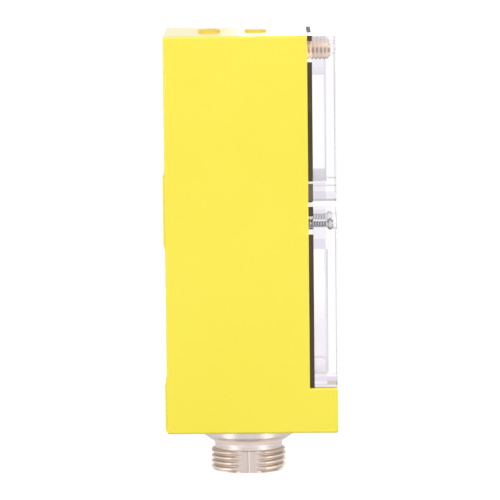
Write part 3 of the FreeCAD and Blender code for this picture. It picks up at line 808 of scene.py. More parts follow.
@dataclass(frozen=True)
class CastFinish(Finish):
    """A plated casting: bright above, duller and warmer on its thread, brushed on its flats, with painted
    shade in its grooves and on its flats, a cone painted paler and a painted shadow and highlight beside its
    seam.
    """

    thread_shade: Colour = (0.6, 0.5, 0.4)
    thread_top: float = 0.0
    thread_fade: float = 0.12
    thread_dulling: float = 0.16
    # Painted shade for the thread grooves; the brush streaks on the flats reuse this colour.
    groove_shade: Colour = (0.5, 0.4, 0.3)
    groove_radii: Span = (0.0, 1.0)
    # Painted shade: the flats are painted darker, standing in for the dimmer reflection they show.
    painted_flat_shade: Colour = (0.625, 0.545, 0.53)
    flat_reach: float = 1.0
    brush_size: float = 0.22
    brush_stretch: Triple = (1.0, 1.0, 0.03)
    brush_range: Span = (0.4, 0.65)
    brush_share: float = 0.62
    # Painted reflection: the cone is painted paler, standing in for the brighter reflection it shows.
    painted_cone_light: Colour = (1.0, 0.93, 0.90)
    cone_span: Span = (0.0, 1.0)
    cone_fade: float = 0.7
    cone_dulling: float = 0.45
    # Painted shadow and painted highlight on the two sides of the seam ridge.
    seam_painted_shadow: Colour = (0.5, 0.42, 0.38)
    seam_glint: Colour = (0.86, 0.78, 0.745)
    seam_width: float = 0.3
    seam_sides: Span = (-0.7, 0.5)
    seam_fade: Span = (0.4, 0.6)

    def masks(self, surface: Surface) -> dict[str, Socket]:
        """Find the thread and its grooves, the brushed flats, the cone above and the seam's two sides, which
        get a painted shadow and a painted highlight.

        Args:
            surface: The material.

        Returns:
            The shares by their names.
        """
        x, y, z = surface.split(surface.place)
        across = surface.math("SUBTRACT", x, CONNECTOR_AXIS)
        aside = surface.math("ABSOLUTE", y)
        top, fade, reach = mm(self.thread_top, self.thread_fade, self.flat_reach)
        sunk = surface.spread(surface.span(across, aside), mm(*self.groove_radii), FALL)
        below = surface.spread(z, (top - fade, top), FALL)
        flat = surface.times(below, surface.spread(aside, (reach - fade, reach - HAIR), RISE))
        thread = surface.math("SUBTRACT", below, flat)
        feeds = {"Vector": surface.place, "Scale": self.brush_stretch}
        stretch = surface.add("ShaderNodeMapping", feeds).outputs["Vector"]
        strokes = surface.noise(stretch, 1.0 / (self.brush_size * MM), 2.0)
        brushed = surface.spread(strokes, self.brush_range, (0.0, self.brush_share))
        # Painted shadow on one side of the seam ridge and painted highlight on the other.
        width = self.seam_width * MM
        ends = tuple(width * share for share in self.seam_fade)
        dark, bright = (
            surface.times(surface.spread(surface.off(across, width * side), ends, FALL), flat)
            for side in self.seam_sides
        )
        return {
            "thread": thread,
            "groove": surface.times(sunk, thread),
            "flat": flat,
            "brushed": surface.times(brushed, flat),
            "cone": surface.window(z, mm(*self.cone_span), self.cone_fade * MM),
            "painted_seam_shadow": dark,
            "painted_seam_highlight": bright,
        }

    def shaded(self, surface: Surface, colour: Socket) -> Socket:
        """Warm the thread, paint shade into its grooves, brush the flats and paint them darker, paint the
        cone paler as a painted reflection, and paint a shadow and a highlight beside the seam.

        Args:
            surface: The material.
            colour: The colour so far.

        Returns:
            The colour with the threaded end, its brush streaks and its painted shade and highlights.
        """
        # Painted shade and highlights: groove shade, darker flats, a paler cone, a seam shadow and a seam
        # highlight; the thread's tone and the brush streaks belong to the casting.
        layers = {
            "thread": self.thread_shade, "groove": self.groove_shade, "flat": self.painted_flat_shade,
            "brushed": self.groove_shade, "cone": self.painted_cone_light,
            "painted_seam_shadow": self.seam_painted_shadow, "painted_seam_highlight": self.seam_glint,
        }
        for name, shade in layers.items():
            colour = surface.blend(surface.masks[name], colour, shade)
        return colour

    def glossed(self, surface: Surface, roughness: Socket) -> Socket:
        """Dull the threaded end and the cone.

        Args:
            surface: The material.
            roughness: The roughness so far.

        Returns:
            The roughness, higher there.
        """
        threaded = surface.math("ADD", surface.masks["thread"], surface.masks["flat"])
        dulled = surface.times(threaded, self.thread_dulling)
        satin = surface.times(surface.masks["cone"], self.cone_dulling)
        return surface.math("ADD", roughness, surface.math("ADD", dulled, satin))


@dataclass(frozen=True)
class GasketFinish(Finish):
    """Cut rubber sheet: matte, but for the cut edges at one end, which are smooth, painted pale and given a
    painted glow.
    """

    # Painted light: the colour and glow strength of the cut edges at the pale end.
    painted_pale_light: Colour = (0.9, 0.87, 0.84)
    pale_end: float = 0.0
    pale_fade: float = 0.3
    pale_roughness: float = 0.12
    pale_glow: float = 0.5
    pale_slopes: Span = (0.6, 0.8)

    def masks(self, surface: Surface) -> dict[str, Socket]:
        """Find the cut edges at the pale end that face up or inwards.

        Args:
            surface: The material.

        Returns:
            Their share.
        """
        _x, sideways, upwards = surface.facing()
        _x, y, _z = surface.split(surface.place)
        end, fade = mm(self.pale_end, self.pale_fade)
        least, most = self.pale_slopes
        upward = surface.spread(upwards, self.pale_slopes, RISE)
        inward = surface.spread(sideways, (-most, -least), FALL)
        wall = surface.spread(y, (end - fade, end - HAIR), RISE)
        cut = surface.math("MAXIMUM", upward, surface.times(inward, wall))
        return {"pale": surface.times(cut, surface.spread(y, (end, end + fade), FALL))}

    def shaded(self, surface: Surface, colour: Socket) -> Socket:
        """Paint the cut edges pale and give them a painted glow, standing in for the light that the clear
        cover pipes to them.

        Args:
            surface: The material.
            colour: The colour so far.

        Returns:
            The colour with the cut edges painted pale.
        """
        pale = surface.masks["pale"]
        light = surface.blend(pale, BLACK, self.painted_pale_light)
        surface.put({"Emission Color": light, "Emission Strength": self.pale_glow})
        return surface.blend(pale, colour, self.painted_pale_light)

    def glossed(self, surface: Surface, roughness: Socket) -> Socket:
        """Smooth the cut edges.

        Args:
            surface: The material.
            roughness: The roughness so far.

        Returns:
            The roughness, low on the pale edges.
        """
        pale = surface.masks["pale"]
        rest = surface.times(roughness, surface.math("SUBTRACT", 1.0, pale))
        return surface.math("ADD", rest, surface.times(pale, self.pale_roughness))


@dataclass(frozen=True)
class LevelFace:
    """A level face of a clear moulding that the mould leaves dull, and that can carry a painted glow set for
    its near and its far end.
    """

    height: float
    roughness: float
    glow: float = 0.0
    far_glow: float = 0.0


@dataclass(frozen=True)
class PaintedShadeBand:
    """A band of painted shade on the near side face of a clear moulding."""

    along: Span
    height: Span
    shade: Colour
    fade: float = 0.05


@dataclass(frozen=True)
class ClearFinish(Finish):
    """A clear moulding: tinted in its depth and filled with a painted glow, with bands of painted shade on
    its near side and dull level faces that can carry a painted glow.
    """

    depth_tint: Colour = (0.3, 0.15, 0.6)
    depth_density: float = 1.5
    # Colour and strength of the painted glow that fills the volume; the colour also serves the level faces'
    # painted glow.
    fog_glow_shade: Colour = (0.97, 0.955, 1.0)
    fog_glow_strength: float = 0.0
    bands: tuple[PaintedShadeBand, ...] = ()
    side_reach: float = 1000.0
    level_faces: tuple[LevelFace, ...] = ()
    level_slopes: Span = (0.7, 0.9)
    level_fade: Span = (0.2, 0.4)

    def shaded(self, surface: Surface, colour: Socket) -> Socket:
        """Paint the shade bands of the near side face.

        Args:
            surface: The material.
            colour: The colour so far.

        Returns:
            The colour with the painted shade bands.
        """
        x, y, z = surface.split(surface.place)
        reach = self.side_reach * MM
        side = surface.spread(y, (HAIR - reach, 3 * HAIR - reach), FALL)
        # Painted shade and reflection: each band blends its colour into the near side face.
        for band in self.bands:
            share = surface.times(side, surface.window(x, mm(*band.along), 2 * HAIR))
            share = surface.times(share, surface.window(z, mm(*band.height), band.fade * MM))
            colour = surface.blend(share, colour, band.shade)
        return colour

    def levelled(self, surface: Surface, roughness: Socket) -> tuple[Socket, Socket | float]:
        """Dull the level faces and give them their painted glow.

        Args:
            surface: The material.
            roughness: The roughness so far.

        Returns:
            The roughness, higher on those faces, and their painted glow.
        """
        _x, y, z = surface.split(surface.place)
        _x, _y, upwards = surface.facing()
        level = surface.spread(surface.math("ABSOLUTE", upwards), self.level_slopes, RISE)
        reach = mm(-self.side_reach, self.side_reach)
        light: Socket | float = 0.0
        for face in self.level_faces:
            off = surface.off(z, face.height * MM)
            near = surface.times(level, surface.spread(off, mm(*self.level_fade), FALL))
            roughness = surface.math("MULTIPLY_ADD", near, face.roughness, roughness)
            # Painted glow on the level faces, from glow at the near end to far_glow at the far end.
            glow = surface.spread(y, reach, (face.glow, face.far_glow))
            light = surface.math("MULTIPLY_ADD", near, glow, light)
        return roughness, light

    def wire(self, surface: Surface) -> None:
        """Wire the clear shader, the tint of its depth and the painted glow that fills it.

        Args:
            surface: The material.
        """
        skin = self.skin(surface)
        colour = surface.blend(skin["Drift"], self.shade, self.drift_shade)
        scuffed = surface.spread(surface.effect(Effect.SCUFFS)["Scuff"], UNIT, self.gloss)
        roughness, light = self.levelled(surface, scuffed)
        surface.put({
            "Base Color": self.shaded(surface, colour),
            "Roughness": roughness,
            "Normal": surface.bump(skin["Drift"], self.grain_depth * MM),
            # Painted glow of the level faces, in the fog's glow colour.
            "Emission Color": surface.blend(light, BLACK, self.fog_glow_shade),
            "Emission Strength": 1.0,
            "Transmission Weight": 1.0,
            "IOR": self.ior,
        })
        # Painted glow: the volume absorbs and emits a fixed pale light, standing in for light scattered in
        # the plastic.
        tint = {"Color": self.depth_tint, "Density": self.depth_density}
        fog = {"Color": self.fog_glow_shade, "Strength": self.fog_glow_strength}
        filled = surface.add("ShaderNodeAddShader", {
            0: surface.add("ShaderNodeVolumeAbsorption", tint).outputs["Volume"],
            1: surface.add("ShaderNodeEmission", fog).outputs["Emission"],
        })
        surface.feed(surface.tree.nodes["Material Output"].inputs["Volume"], filled.outputs["Shader"])


@dataclass(frozen=True)
class BoardFinish(Finish):
    """A lacquered circuit board with copper tracks just under the lacquer."""

    track_shade: Colour = (0.05, 0.2, 0.08)
    track_pitch: float = 1.6
    track_width: float = 0.03
    row_height: float = 0.25

    def shaded(self, surface: Surface, colour: Socket) -> Socket:
        """Draw the tracks in a paler shade.

        Args:
            surface: The material.
            colour: The colour so far.

        Returns:
            The colour with the tracks.
        """
        quarter = math.radians(90)
        turn = surface.add("ShaderNodeMapping", {
            "Vector": surface.place, "Rotation": (0.0, quarter, quarter),
        })
        bricks = surface.add("ShaderNodeTexBrick", {
            "Vector": turn.outputs["Vector"],
            "Scale": self.row_height / (self.track_pitch * MM),
            "Mortar Size": self.track_width,
        })
        return surface.blend(bricks.outputs["Fac"], colour, self.track_shade)


# Reaches along X of the covers' side faces, in millimetres.
BESIDE_POCKET = (44.0, 47.8)
BEFORE_POCKET = (47.8, 51.0)
WHOLE_SIDE = (44.0, 51.0)


class Finishes:
    """The finishes of all pieces, by the record's slot names, with their lengths in millimetres."""

    housing_yellow = Finish(
        "housing_yellow", (0.93, 0.795, 0.06), (0.945, 0.815, 0.075), (0.13, 0.2), 0.3, 0.0025, 35,
        scuff_shade=(0.95, 0.84, 0.12), coat=0.1, coat_roughness=0.08,
    )
    # Painted light on the covers: a glowing fog, glowing level faces and bands of painted shade and
    # reflection.
    cover_clear = ClearFinish(
        "cover_clear", (0.995, 0.99, 1.0), (0.985, 0.978, 0.995), (0.0, 0.12), 0.4, 0.001, 12,
        ior=1.49, depth_tint=BLACK, depth_density=14.0, fog_glow_strength=14.0, side_reach=22.25,
        level_faces=(
            LevelFace(37.7, 0.35), LevelFace(30.25, 0.12, 0.22, 0.22), LevelFace(-19.0, 0.25, 0.14, 0.31),
        ),
        # Painted shade and reflection in the clear plastic: lines along edges, lilac-grey solid heads, feet
        # and lip, a tan reflection of the yellow foot, and a lower window painted darker in its lower part.
        bands=(
            PaintedShadeBand(BESIDE_POCKET, (69.2, 80.6), (0.80, 0.75, 0.83), 0.15),
            PaintedShadeBand(BESIDE_POCKET, (31.8, 37.7), (0.76, 0.70, 0.79), 0.15),
            PaintedShadeBand(BESIDE_POCKET, (17.7, 30.3), (0.82, 0.79, 0.88), 0.15),
            PaintedShadeBand(BESIDE_POCKET, (26.3, 29.4), (0.64, 0.62, 0.74), 0.3),
            PaintedShadeBand(WHOLE_SIDE, (-21.4, -20.0), (0.62, 0.59, 0.73), 0.1),
            PaintedShadeBand(BESIDE_POCKET, (-22.65, -22.15), (0.60, 0.54, 0.60), 0.1),
            PaintedShadeBand(BEFORE_POCKET, (-22.55, -21.2), (0.50, 0.38, 0.28), 0.2),
            PaintedShadeBand(BESIDE_POCKET, (-19.1, -18.7), (0.52, 0.43, 0.44), 0.1),
            PaintedShadeBand(BESIDE_POCKET, (69.05, 69.45), (0.66, 0.65, 0.68)),
            PaintedShadeBand((47.72, 48.27), (-18.8, 17.7), (0.50, 0.49, 0.55)),
            PaintedShadeBand((47.2, 47.72), (-18.8, 17.7), (0.82, 0.81, 0.84)),
            PaintedShadeBand(BESIDE_POCKET, (-22.0, 2.0), (0.73, 0.67, 0.73), 8.0),
            PaintedShadeBand(BESIDE_POCKET, (37.7, 41.6), (0.84, 0.81, 0.84), 0.15),
            PaintedShadeBand(WHOLE_SIDE, (36.3, 36.75), (0.56, 0.52, 0.60)),
            PaintedShadeBand(BEFORE_POCKET, (38.55, 39.1), (0.56, 0.53, 0.65)),
            PaintedShadeBand(WHOLE_SIDE, (31.9, 32.6), (0.46, 0.40, 0.41)),
            PaintedShadeBand((47.65, 48.1), (37.7, 74.0), (0.57, 0.56, 0.60)),
        ),
    )
    # Painted light on the gaskets and pads: their cut edges at one end are painted pale and given a painted
    # glow.
    gasket_black = GasketFinish(
        "gasket_black", (0.046, 0.027, 0.013), (0.066, 0.042, 0.023), (0.5, 0.75), 0.18, 0.03, 6,
        specular=0.35, pale_end=-8.65,
    )
    pad_grey = GasketFinish(
        "pad_grey", (0.15, 0.115, 0.085), (0.11, 0.085, 0.065), (0.55, 0.75), 0.2, 0.02, 2.5,
        pale_end=-15.4,
    )
    # Painted light on the brass bushes: rim shade, groove shade, reflection belt shade and a glow.
    bush_brass = ThreadFinish(
        "bush_brass", (1.0, 0.87, 0.72), (0.98, 0.79, 0.60), (0.26, 0.42), 0.3, 0.008, 1.2,
        metallic=0.45, ring_pitch=0.15, painted_rim_shade=(0.7, 0.56, 0.46), groove_shade=(0.42, 0.31, 0.25),
        groove_ends=0.12, groove_radii=(2.42, 2.62), glow=0.26, far_glow=0.06, axis_y=16.5, axis_z=76.05,
        belts=(PaintedReflectionBelt((-0.25, 0.35), (0.52, 0.39, 0.31), 0.35), PaintedReflectionBelt((-1.3, -0.85), (0.3, 0.26, 0.25), 0.8)),
    )
    # Painted light on the cover screws: rim shade, groove shade, reflection belt shade and a glow.
    screw_steel = ThreadFinish(
        "screw_steel", (0.96, 0.95, 0.95), (0.88, 0.87, 0.87), (0.18, 0.32), 0.2, 0.006, 1.5,
        metallic=0.6, painted_rim_shade=(0.12, 0.11, 0.11), rim_range=(0.7, 0.9), groove_shade=(0.26, 0.25, 0.25),
        groove_radii=(0.75, 0.93), glow=0.02, far_glow=0.16, axis_y=16.5, axis_z=24.75, variant="_threaded",
        belts=(PaintedReflectionBelt((0.6, 1.3), (0.2, 0.19, 0.19), 0.75), PaintedReflectionBelt((-1.3, -0.6), (0.2, 0.19, 0.19), 0.75)),
    )
    board_screw_steel = Finish(
        "screw_steel", (0.72, 0.71, 0.71), (0.62, 0.61, 0.61), (0.22, 0.36), 0.2, 0.006, 1.5, metallic=1.0,
    )
    # Painted light on the connector: groove shade, darker flats, a paler cone and a seam shadow and
    # highlight, all from CastFinish.
    connector_nickel = CastFinish(
        "connector_nickel", (0.80, 0.71, 0.70), (0.76, 0.67, 0.655), (0.24, 0.33), 0.22, 0.005, 4,
        metallic=1.0, thread_shade=(0.83, 0.725, 0.66), thread_top=-43.6, groove_shade=(0.58, 0.485, 0.42),
        groove_radii=(10.2, 10.9), flat_reach=9.85, cone_span=(-42.2, -40.9),
    )
    insert_black = Finish(
        "insert_black", (0.018, 0.018, 0.02), (0.028, 0.028, 0.03), (0.35, 0.5), 0.2, 0.01, 5,
    )
    pin_gold = Finish(
        "pin_gold", (0.93, 0.70, 0.32), (0.88, 0.62, 0.26), (0.15, 0.26), 0.15, 0.004, 2, metallic=1.0,
    )
    indicator_amber = Finish(
        "indicator_amber", (0.78, 0.54, 0.08), (0.81, 0.585, 0.11), (0.3, 0.42), 0.3, 0.002, 3, specular=0.15,
    )
    carrier_black = Finish(
        "carrier_black", (0.02, 0.02, 0.022), (0.032, 0.031, 0.033), (0.45, 0.62), 0.25, 0.015, 8,
    )
    lens_tint = ClearFinish(
        "lens_tint", (0.93, 0.90, 0.95), (0.9, 0.87, 0.94), (0.0, 0.08), 0.3, 0.001, 4,
        ior=1.55, depth_tint=(0.6, 0.05, 0.2), depth_density=120.0,
    )
    board_green = BoardFinish(
        "board_green", (0.012, 0.09, 0.03), (0.016, 0.11, 0.038), (0.25, 0.38), 0.2, 0.006, 10,
    )
    chip_black = Finish(
        "chip_black", (0.022, 0.022, 0.024), (0.03, 0.03, 0.032), (0.5, 0.65), 0.12, 0.008, 4,
    )
    shield_tin = Finish(
        "shield_tin", (0.72, 0.72, 0.70), (0.64, 0.64, 0.62), (0.25, 0.42), 0.4, 0.006, 6, metallic=1.0,
    )
    capacitor_can = Finish(
        "capacitor_can", (0.78, 0.78, 0.79), (0.70, 0.70, 0.72), (0.22, 0.34), 0.3, 0.004, 4, metallic=1.0,
    )
    diode_amber = Finish(
        "diode_amber", (0.85, 0.42, 0.03), (0.9, 0.5, 0.05), (0.12, 0.2), 0.2, 0.002, 1.5,
    )
    insert_brass = Finish(
        "insert_brass", (0.84, 0.60, 0.28), (0.76, 0.50, 0.22), (0.22, 0.36), 0.25, 0.006, 3,
        metallic=1.0, ring_pitch=0.2,
    )


def wear(piece: Piece, finish: Finish) -> None:
    """Give a piece's mesh a finish, and no other."""
    piece.data.materials.clear()
    piece.data.materials.append(finish.make())


def stand_in(node: str, finish: Finish, *pieces: Piece) -> None:
    """Dress new pieces, ride them on the part and let them stand for a node of the frame.

    Args:
        node: The node that they replace.
        finish: Their finish, named as the record's slot.
        *pieces: The pieces.
    """
    for piece in pieces:
        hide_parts(node)
        wear(piece, finish)
        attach(piece, "root")
        LOG.info("piece %s: %s", piece.name, finish.label)


def pair_centre(node: str, side: int = 1) -> Vector:
    """Find the axis along X of one of a node's mirrored pair of round solids."""
    low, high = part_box(node)
    return Vector((0.0, side * (high.y - (high.z - low.z) / 2), (low.z + high.z) / 2))


@dataclass
class FrameShapes:
    """A sub-assembly with nodes that keep the frame's own shapes."""

    nodes: dict[str, Piece]

    def finishes(self) -> dict[str, Finish]:
        """Give the finish of each such node."""
        return {}

    def dress(self) -> None:
        """Give each such node its finish."""
        for label, finish in self.finishes().items():
            wear(self.nodes[label], finish)
            LOG.info("node %s: %s", label, finish.label)


@dataclass
class Mouldings(FrameShapes):
    """The housing, the gaskets and the optics."""

    def finishes(self) -> dict[str, Finish]:
        """Give the finish of each node.

        Returns:
            The finishes by the nodes' names.
        """
        return {
            "housing": Finishes.housing_yellow,
            "upper_gasket": Finishes.gasket_black,
            "lower_gasket": Finishes.gasket_black,
            "lip_pads": Finishes.pad_grey,
            "optics_carrier": Finishes.carrier_black,
            "upper_lenses": Finishes.lens_tint,
            "lower_lenses": Finishes.lens_tint,
        }


@dataclass
class Electronics(FrameShapes):
    """The boards and the parts on them, inside the housing."""

    def finishes(self) -> dict[str, Finish]:
        """Give the finish of each node.

        Returns:
            The finishes by the nodes' names.
        """
        return {
            "photodiodes": Finishes.chip_black,
            "main_board": Finishes.board_green,
            "board_screws": Finishes.board_screw_steel,
            "processor_chip": Finishes.chip_black,
            "amplifier_shield": Finishes.shield_tin,
            "supply_capacitors": Finishes.capacitor_can,
            "connector_board": Finishes.board_green,
            "board_link": Finishes.chip_black,
        }


@dataclass
class CoverFasteners:
    """The threaded brass bushes of the upper cover and the screws of the lower cover."""

    run_out: float = 0.3 * MM
    bush_pitch: float = 1.2 * MM
    bush_thread_depth: float = 0.36 * MM
    bush_bore: float = 2.5 * MM
    bush_access: float = 3.05 * MM
    bush_tip: float = 1.1 * MM
    bush_edge: float = 0.1 * MM
    bush_mouth: float = 0.08 * MM
    bush_steps: int = 72
    bush_rows: int = 66
    bush_smoothing: float = 50
    screw_pitch: float = 0.78 * MM
    screw_thread_depth: float = 0.3 * MM
    screw_head: float = 3.5 * MM
    screw_thread: float = 2.0 * MM
    screw_point: float = 0.7
    screw_head_height: float = 1.7 * MM
    screw_slot_width: float = 0.5 * MM
    screw_slot_depth: float = 0.6 * MM
    screw_steps: int = 32
    screw_rows: int = 230
    screw_smoothing: float = 35
    # The head's corners: shares of its height and of its radius, and the rounding.
    head_corners: tuple[Triple, ...] = (
        (0.0, 0.6, 0.3 * MM), (0.3, 1.0, 0.35 * MM), (0.65, 1.0, 0.4 * MM), (1.0, 0.55, 0.4 * MM),
    )

    def build(self) -> None:
        """Build both pairs."""
        self.build_bushes()
        self.build_screws()

    def build_bushes(self) -> None:
        """Turn one bush, thread it and copy it to the other side."""
        low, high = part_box("cover_bushes")
        radius = (high.z - low.z) / 2
        centre = pair_centre("cover_bushes")
        shoulder = high.x - self.bush_tip
        lathe = Lathe(Axis.ALONG_X, centre, self.bush_steps)
        bush = lathe.turned("bush_right", [
            Corner(low.x, self.bush_bore / 2, self.bush_edge),
            Corner(high.x, self.bush_bore / 2, self.bush_mouth),
            Corner(high.x, self.bush_access / 2, self.bush_mouth),
            Corner(shoulder, radius, rows=self.bush_rows),
            Corner(low.x, radius, self.bush_edge),
        ], closed=True)
        thread = Thread(self.bush_pitch, self.bush_thread_depth, low.x, shoulder, self.run_out)
        lathe.cut_thread(bush, thread, radius)
        Bench.smooth(bush, self.bush_smoothing)
        other = Bench.copy(bush, "bush_left", Vector((0.0, -2 * centre.y, 0.0)))
        stand_in("cover_bushes", Finishes.bush_brass, bush, other)

    def build_screws(self) -> None:
        """Turn one slotted screw, thread it and copy it to the other side."""
        low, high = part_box("cover_screws")
        centre = pair_centre("cover_screws")
        head = self.screw_head / 2
        seat = high.x - self.screw_head_height
        radius = self.screw_thread / 2
        lathe = Lathe(Axis.ALONG_X, centre, self.screw_steps)
        screw = lathe.turned("cover_screw_right", [
            Corner(low.x, 0.0),
            Corner(low.x, radius * self.screw_point),
            Corner(low.x + radius, radius, rows=self.screw_rows),
            Corner(seat, radius),
            *(Corner(seat + self.screw_head_height * height, head * width, ease)
              for height, width, ease in self.head_corners),
            Corner(high.x, 0.0),
        ])
        thread = Thread(self.screw_pitch, self.screw_thread_depth, low.x + radius, seat, self.run_out)
        lathe.cut_thread(screw, thread, radius)
        half = self.screw_slot_width / 2
        slot = Bench.block(
            "slot_cutter",
            (high.x - self.screw_slot_depth, centre.y - 2 * head, centre.z - half),
            (high.x + MM, centre.y + 2 * head, centre.z + half),
        )
        Bench.combine(screw, slot, Tooling.CUT)
        Bench.smooth(screw, self.screw_smoothing)
        other = Bench.copy(screw, "cover_screw_left", Vector((0.0, -2 * centre.y, 0.0)))
        stand_in("cover_screws", Finishes.screw_steel, screw, other)


@dataclass
class ClearCovers:
    """The two clear mouldings with their window pockets, lip, bores and wells."""

    fasteners: CoverFasteners
    seat: float = 42.7 * MM + HAIR
    back: float = 44.1 * MM + HAIR
    edge_radius: float = 0.25 * MM
    edge_steps: int = 4
    lip_rise: float = 0.45 * MM
    lip_clearance: float = 0.15 * MM
    lip_inset: float = 7.0 * MM
    pocket_depth: float = 3.7 * MM
    pocket_radius: float = 0.04 * MM
    side_wall: float = 2.0 * MM
    lower_floor: float = 4.05 * MM
    lower_head: float = 12.55 * MM
    upper_floor: float = 5.9 * MM
    upper_head: float = 11.35 * MM
    weld_depth: float = 0.5 * MM
    spacer_width: float = 3.6 * MM
    well_width: float = 3.3 * MM
    well_ease: float = 0.15 * MM
    head_play: float = 0.1 * MM
    bore_steps: int = 64
    smoothing: float = 32

    def build(self) -> None:
        """Build both covers over the frame's nodes."""
        self.build_upper()
        self.build_lower()

    def slab(self, label: str, low: Vector, high: Vector, floor: float, head: float) -> Piece:
        """Make a rounded slab with its window pocket.

        Args:
            label: The cover's name.
            low: The lowest corner of the cover's box.
            high: The highest corner.
            floor: The height of the solid band under the pocket.
            head: The height of the solid head above it.

        Returns:
            The slab.
        """
        def in_front(first: Vector, second: Vector) -> bool:
            """Tell whether an edge is in front of the back face."""
            return max(first.x, second.x) > self.back + HAIR / 2

        slab = Bench.block(label, (self.back, low.y, low.z), high)
        Bench.ease_edges(slab, self.edge_radius, self.edge_steps, in_front)
        pocket = Bench.block(
            label + "_pocket",
            (self.back - MM, low.y + self.side_wall, low.z + floor),
            (self.back + self.pocket_depth, high.y - self.side_wall, high.z - head),
        )
        Bench.ease_edges(pocket, self.pocket_radius, self.edge_steps, in_front)
        Bench.combine(slab, pocket, Tooling.CUT)
        return slab

    def build_upper(self) -> None:
        """Make the upper cover: the lip along the bottom and bores that grip the bushes."""
        low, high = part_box("upper_cover")
        cover = self.slab("upper_cover_clear", low, high, self.upper_floor, self.upper_head)
        lip = Bench.block(
            "lip",
            (low.x + HAIR, low.y + self.lip_inset, low.z + self.lip_rise),
            (
                self.back + self.weld_depth,
                high.y - self.lip_inset,
                low.z + self.upper_floor - self.lip_clearance,
            ),
        )
        Bench.combine(cover, lip, Tooling.WELD)
        bush_low, bush_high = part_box("cover_bushes")
        grip = (bush_high.z - bush_low.z) / 2 - self.fasteners.bush_thread_depth - HAIR
        shoulder = bush_high.x - self.fasteners.bush_tip
        access = self.fasteners.bush_access / 2
        for side in SIDES:
            lathe = Lathe(Axis.ALONG_X, pair_centre("cover_bushes", side), self.bore_steps)
            bore = lathe.turned("bore", [
                Corner(self.back - MM, 0.0),
                Corner(self.back - MM, grip),
                Corner(shoulder - HAIR, grip),
                Corner(bush_high.x - HAIR, access - HAIR),
                Corner(bush_high.x - HAIR, access),
                Corner(high.x + MM, access),
                Corner(high.x + MM, 0.0),
            ])
            Bench.combine(cover, bore, Tooling.CUT)
        self.finish(cover, "upper_cover")

    def build_lower(self) -> None:
        """Make the lower cover: spacers, screw holes and wells."""
        low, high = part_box("lower_cover")
        cover = self.slab("lower_cover_clear", low, high, self.lower_floor, self.lower_head)
        _screw_low, screw_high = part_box("cover_screws")
        grip = self.fasteners.screw_thread / 2 - self.fasteners.screw_thread_depth - HAIR
        spacer_width, well_width = self.spacer_width / 2, self.well_width / 2
        for side in SIDES:
            lathe = Lathe(Axis.ALONG_X, pair_centre("cover_screws", side), self.bore_steps)
            spacer = lathe.turned("spacer", [
                Corner(self.seat, 0.0),
                Corner(self.seat, spacer_width),
                Corner(self.back + self.weld_depth, spacer_width),
                Corner(self.back + self.weld_depth, 0.0),
            ])
            Bench.combine(cover, spacer, Tooling.WELD)
            hole = lathe.turned("hole", [
                Corner(self.seat - MM, 0.0),
                Corner(self.seat - MM, grip),
                Corner(screw_high.x - self.head_play, grip),
                Corner(screw_high.x - self.head_play, well_width, self.well_ease),
                Corner(high.x + MM, well_width),
                Corner(high.x + MM, 0.0),
            ])
            Bench.combine(cover, hole, Tooling.CUT)
        self.finish(cover, "lower_cover")

    def finish(self, cover: Piece, node: str) -> None:
        """Close, shade and dress a cover in place of its node.

        Args:
            cover: The cover.
            node: The node.
        """
        Bench.close_up(cover)
        Bench.smooth(cover, self.smoothing)
        Bench.level_normals(cover)
        stand_in(node, Finishes.cover_clear, cover)


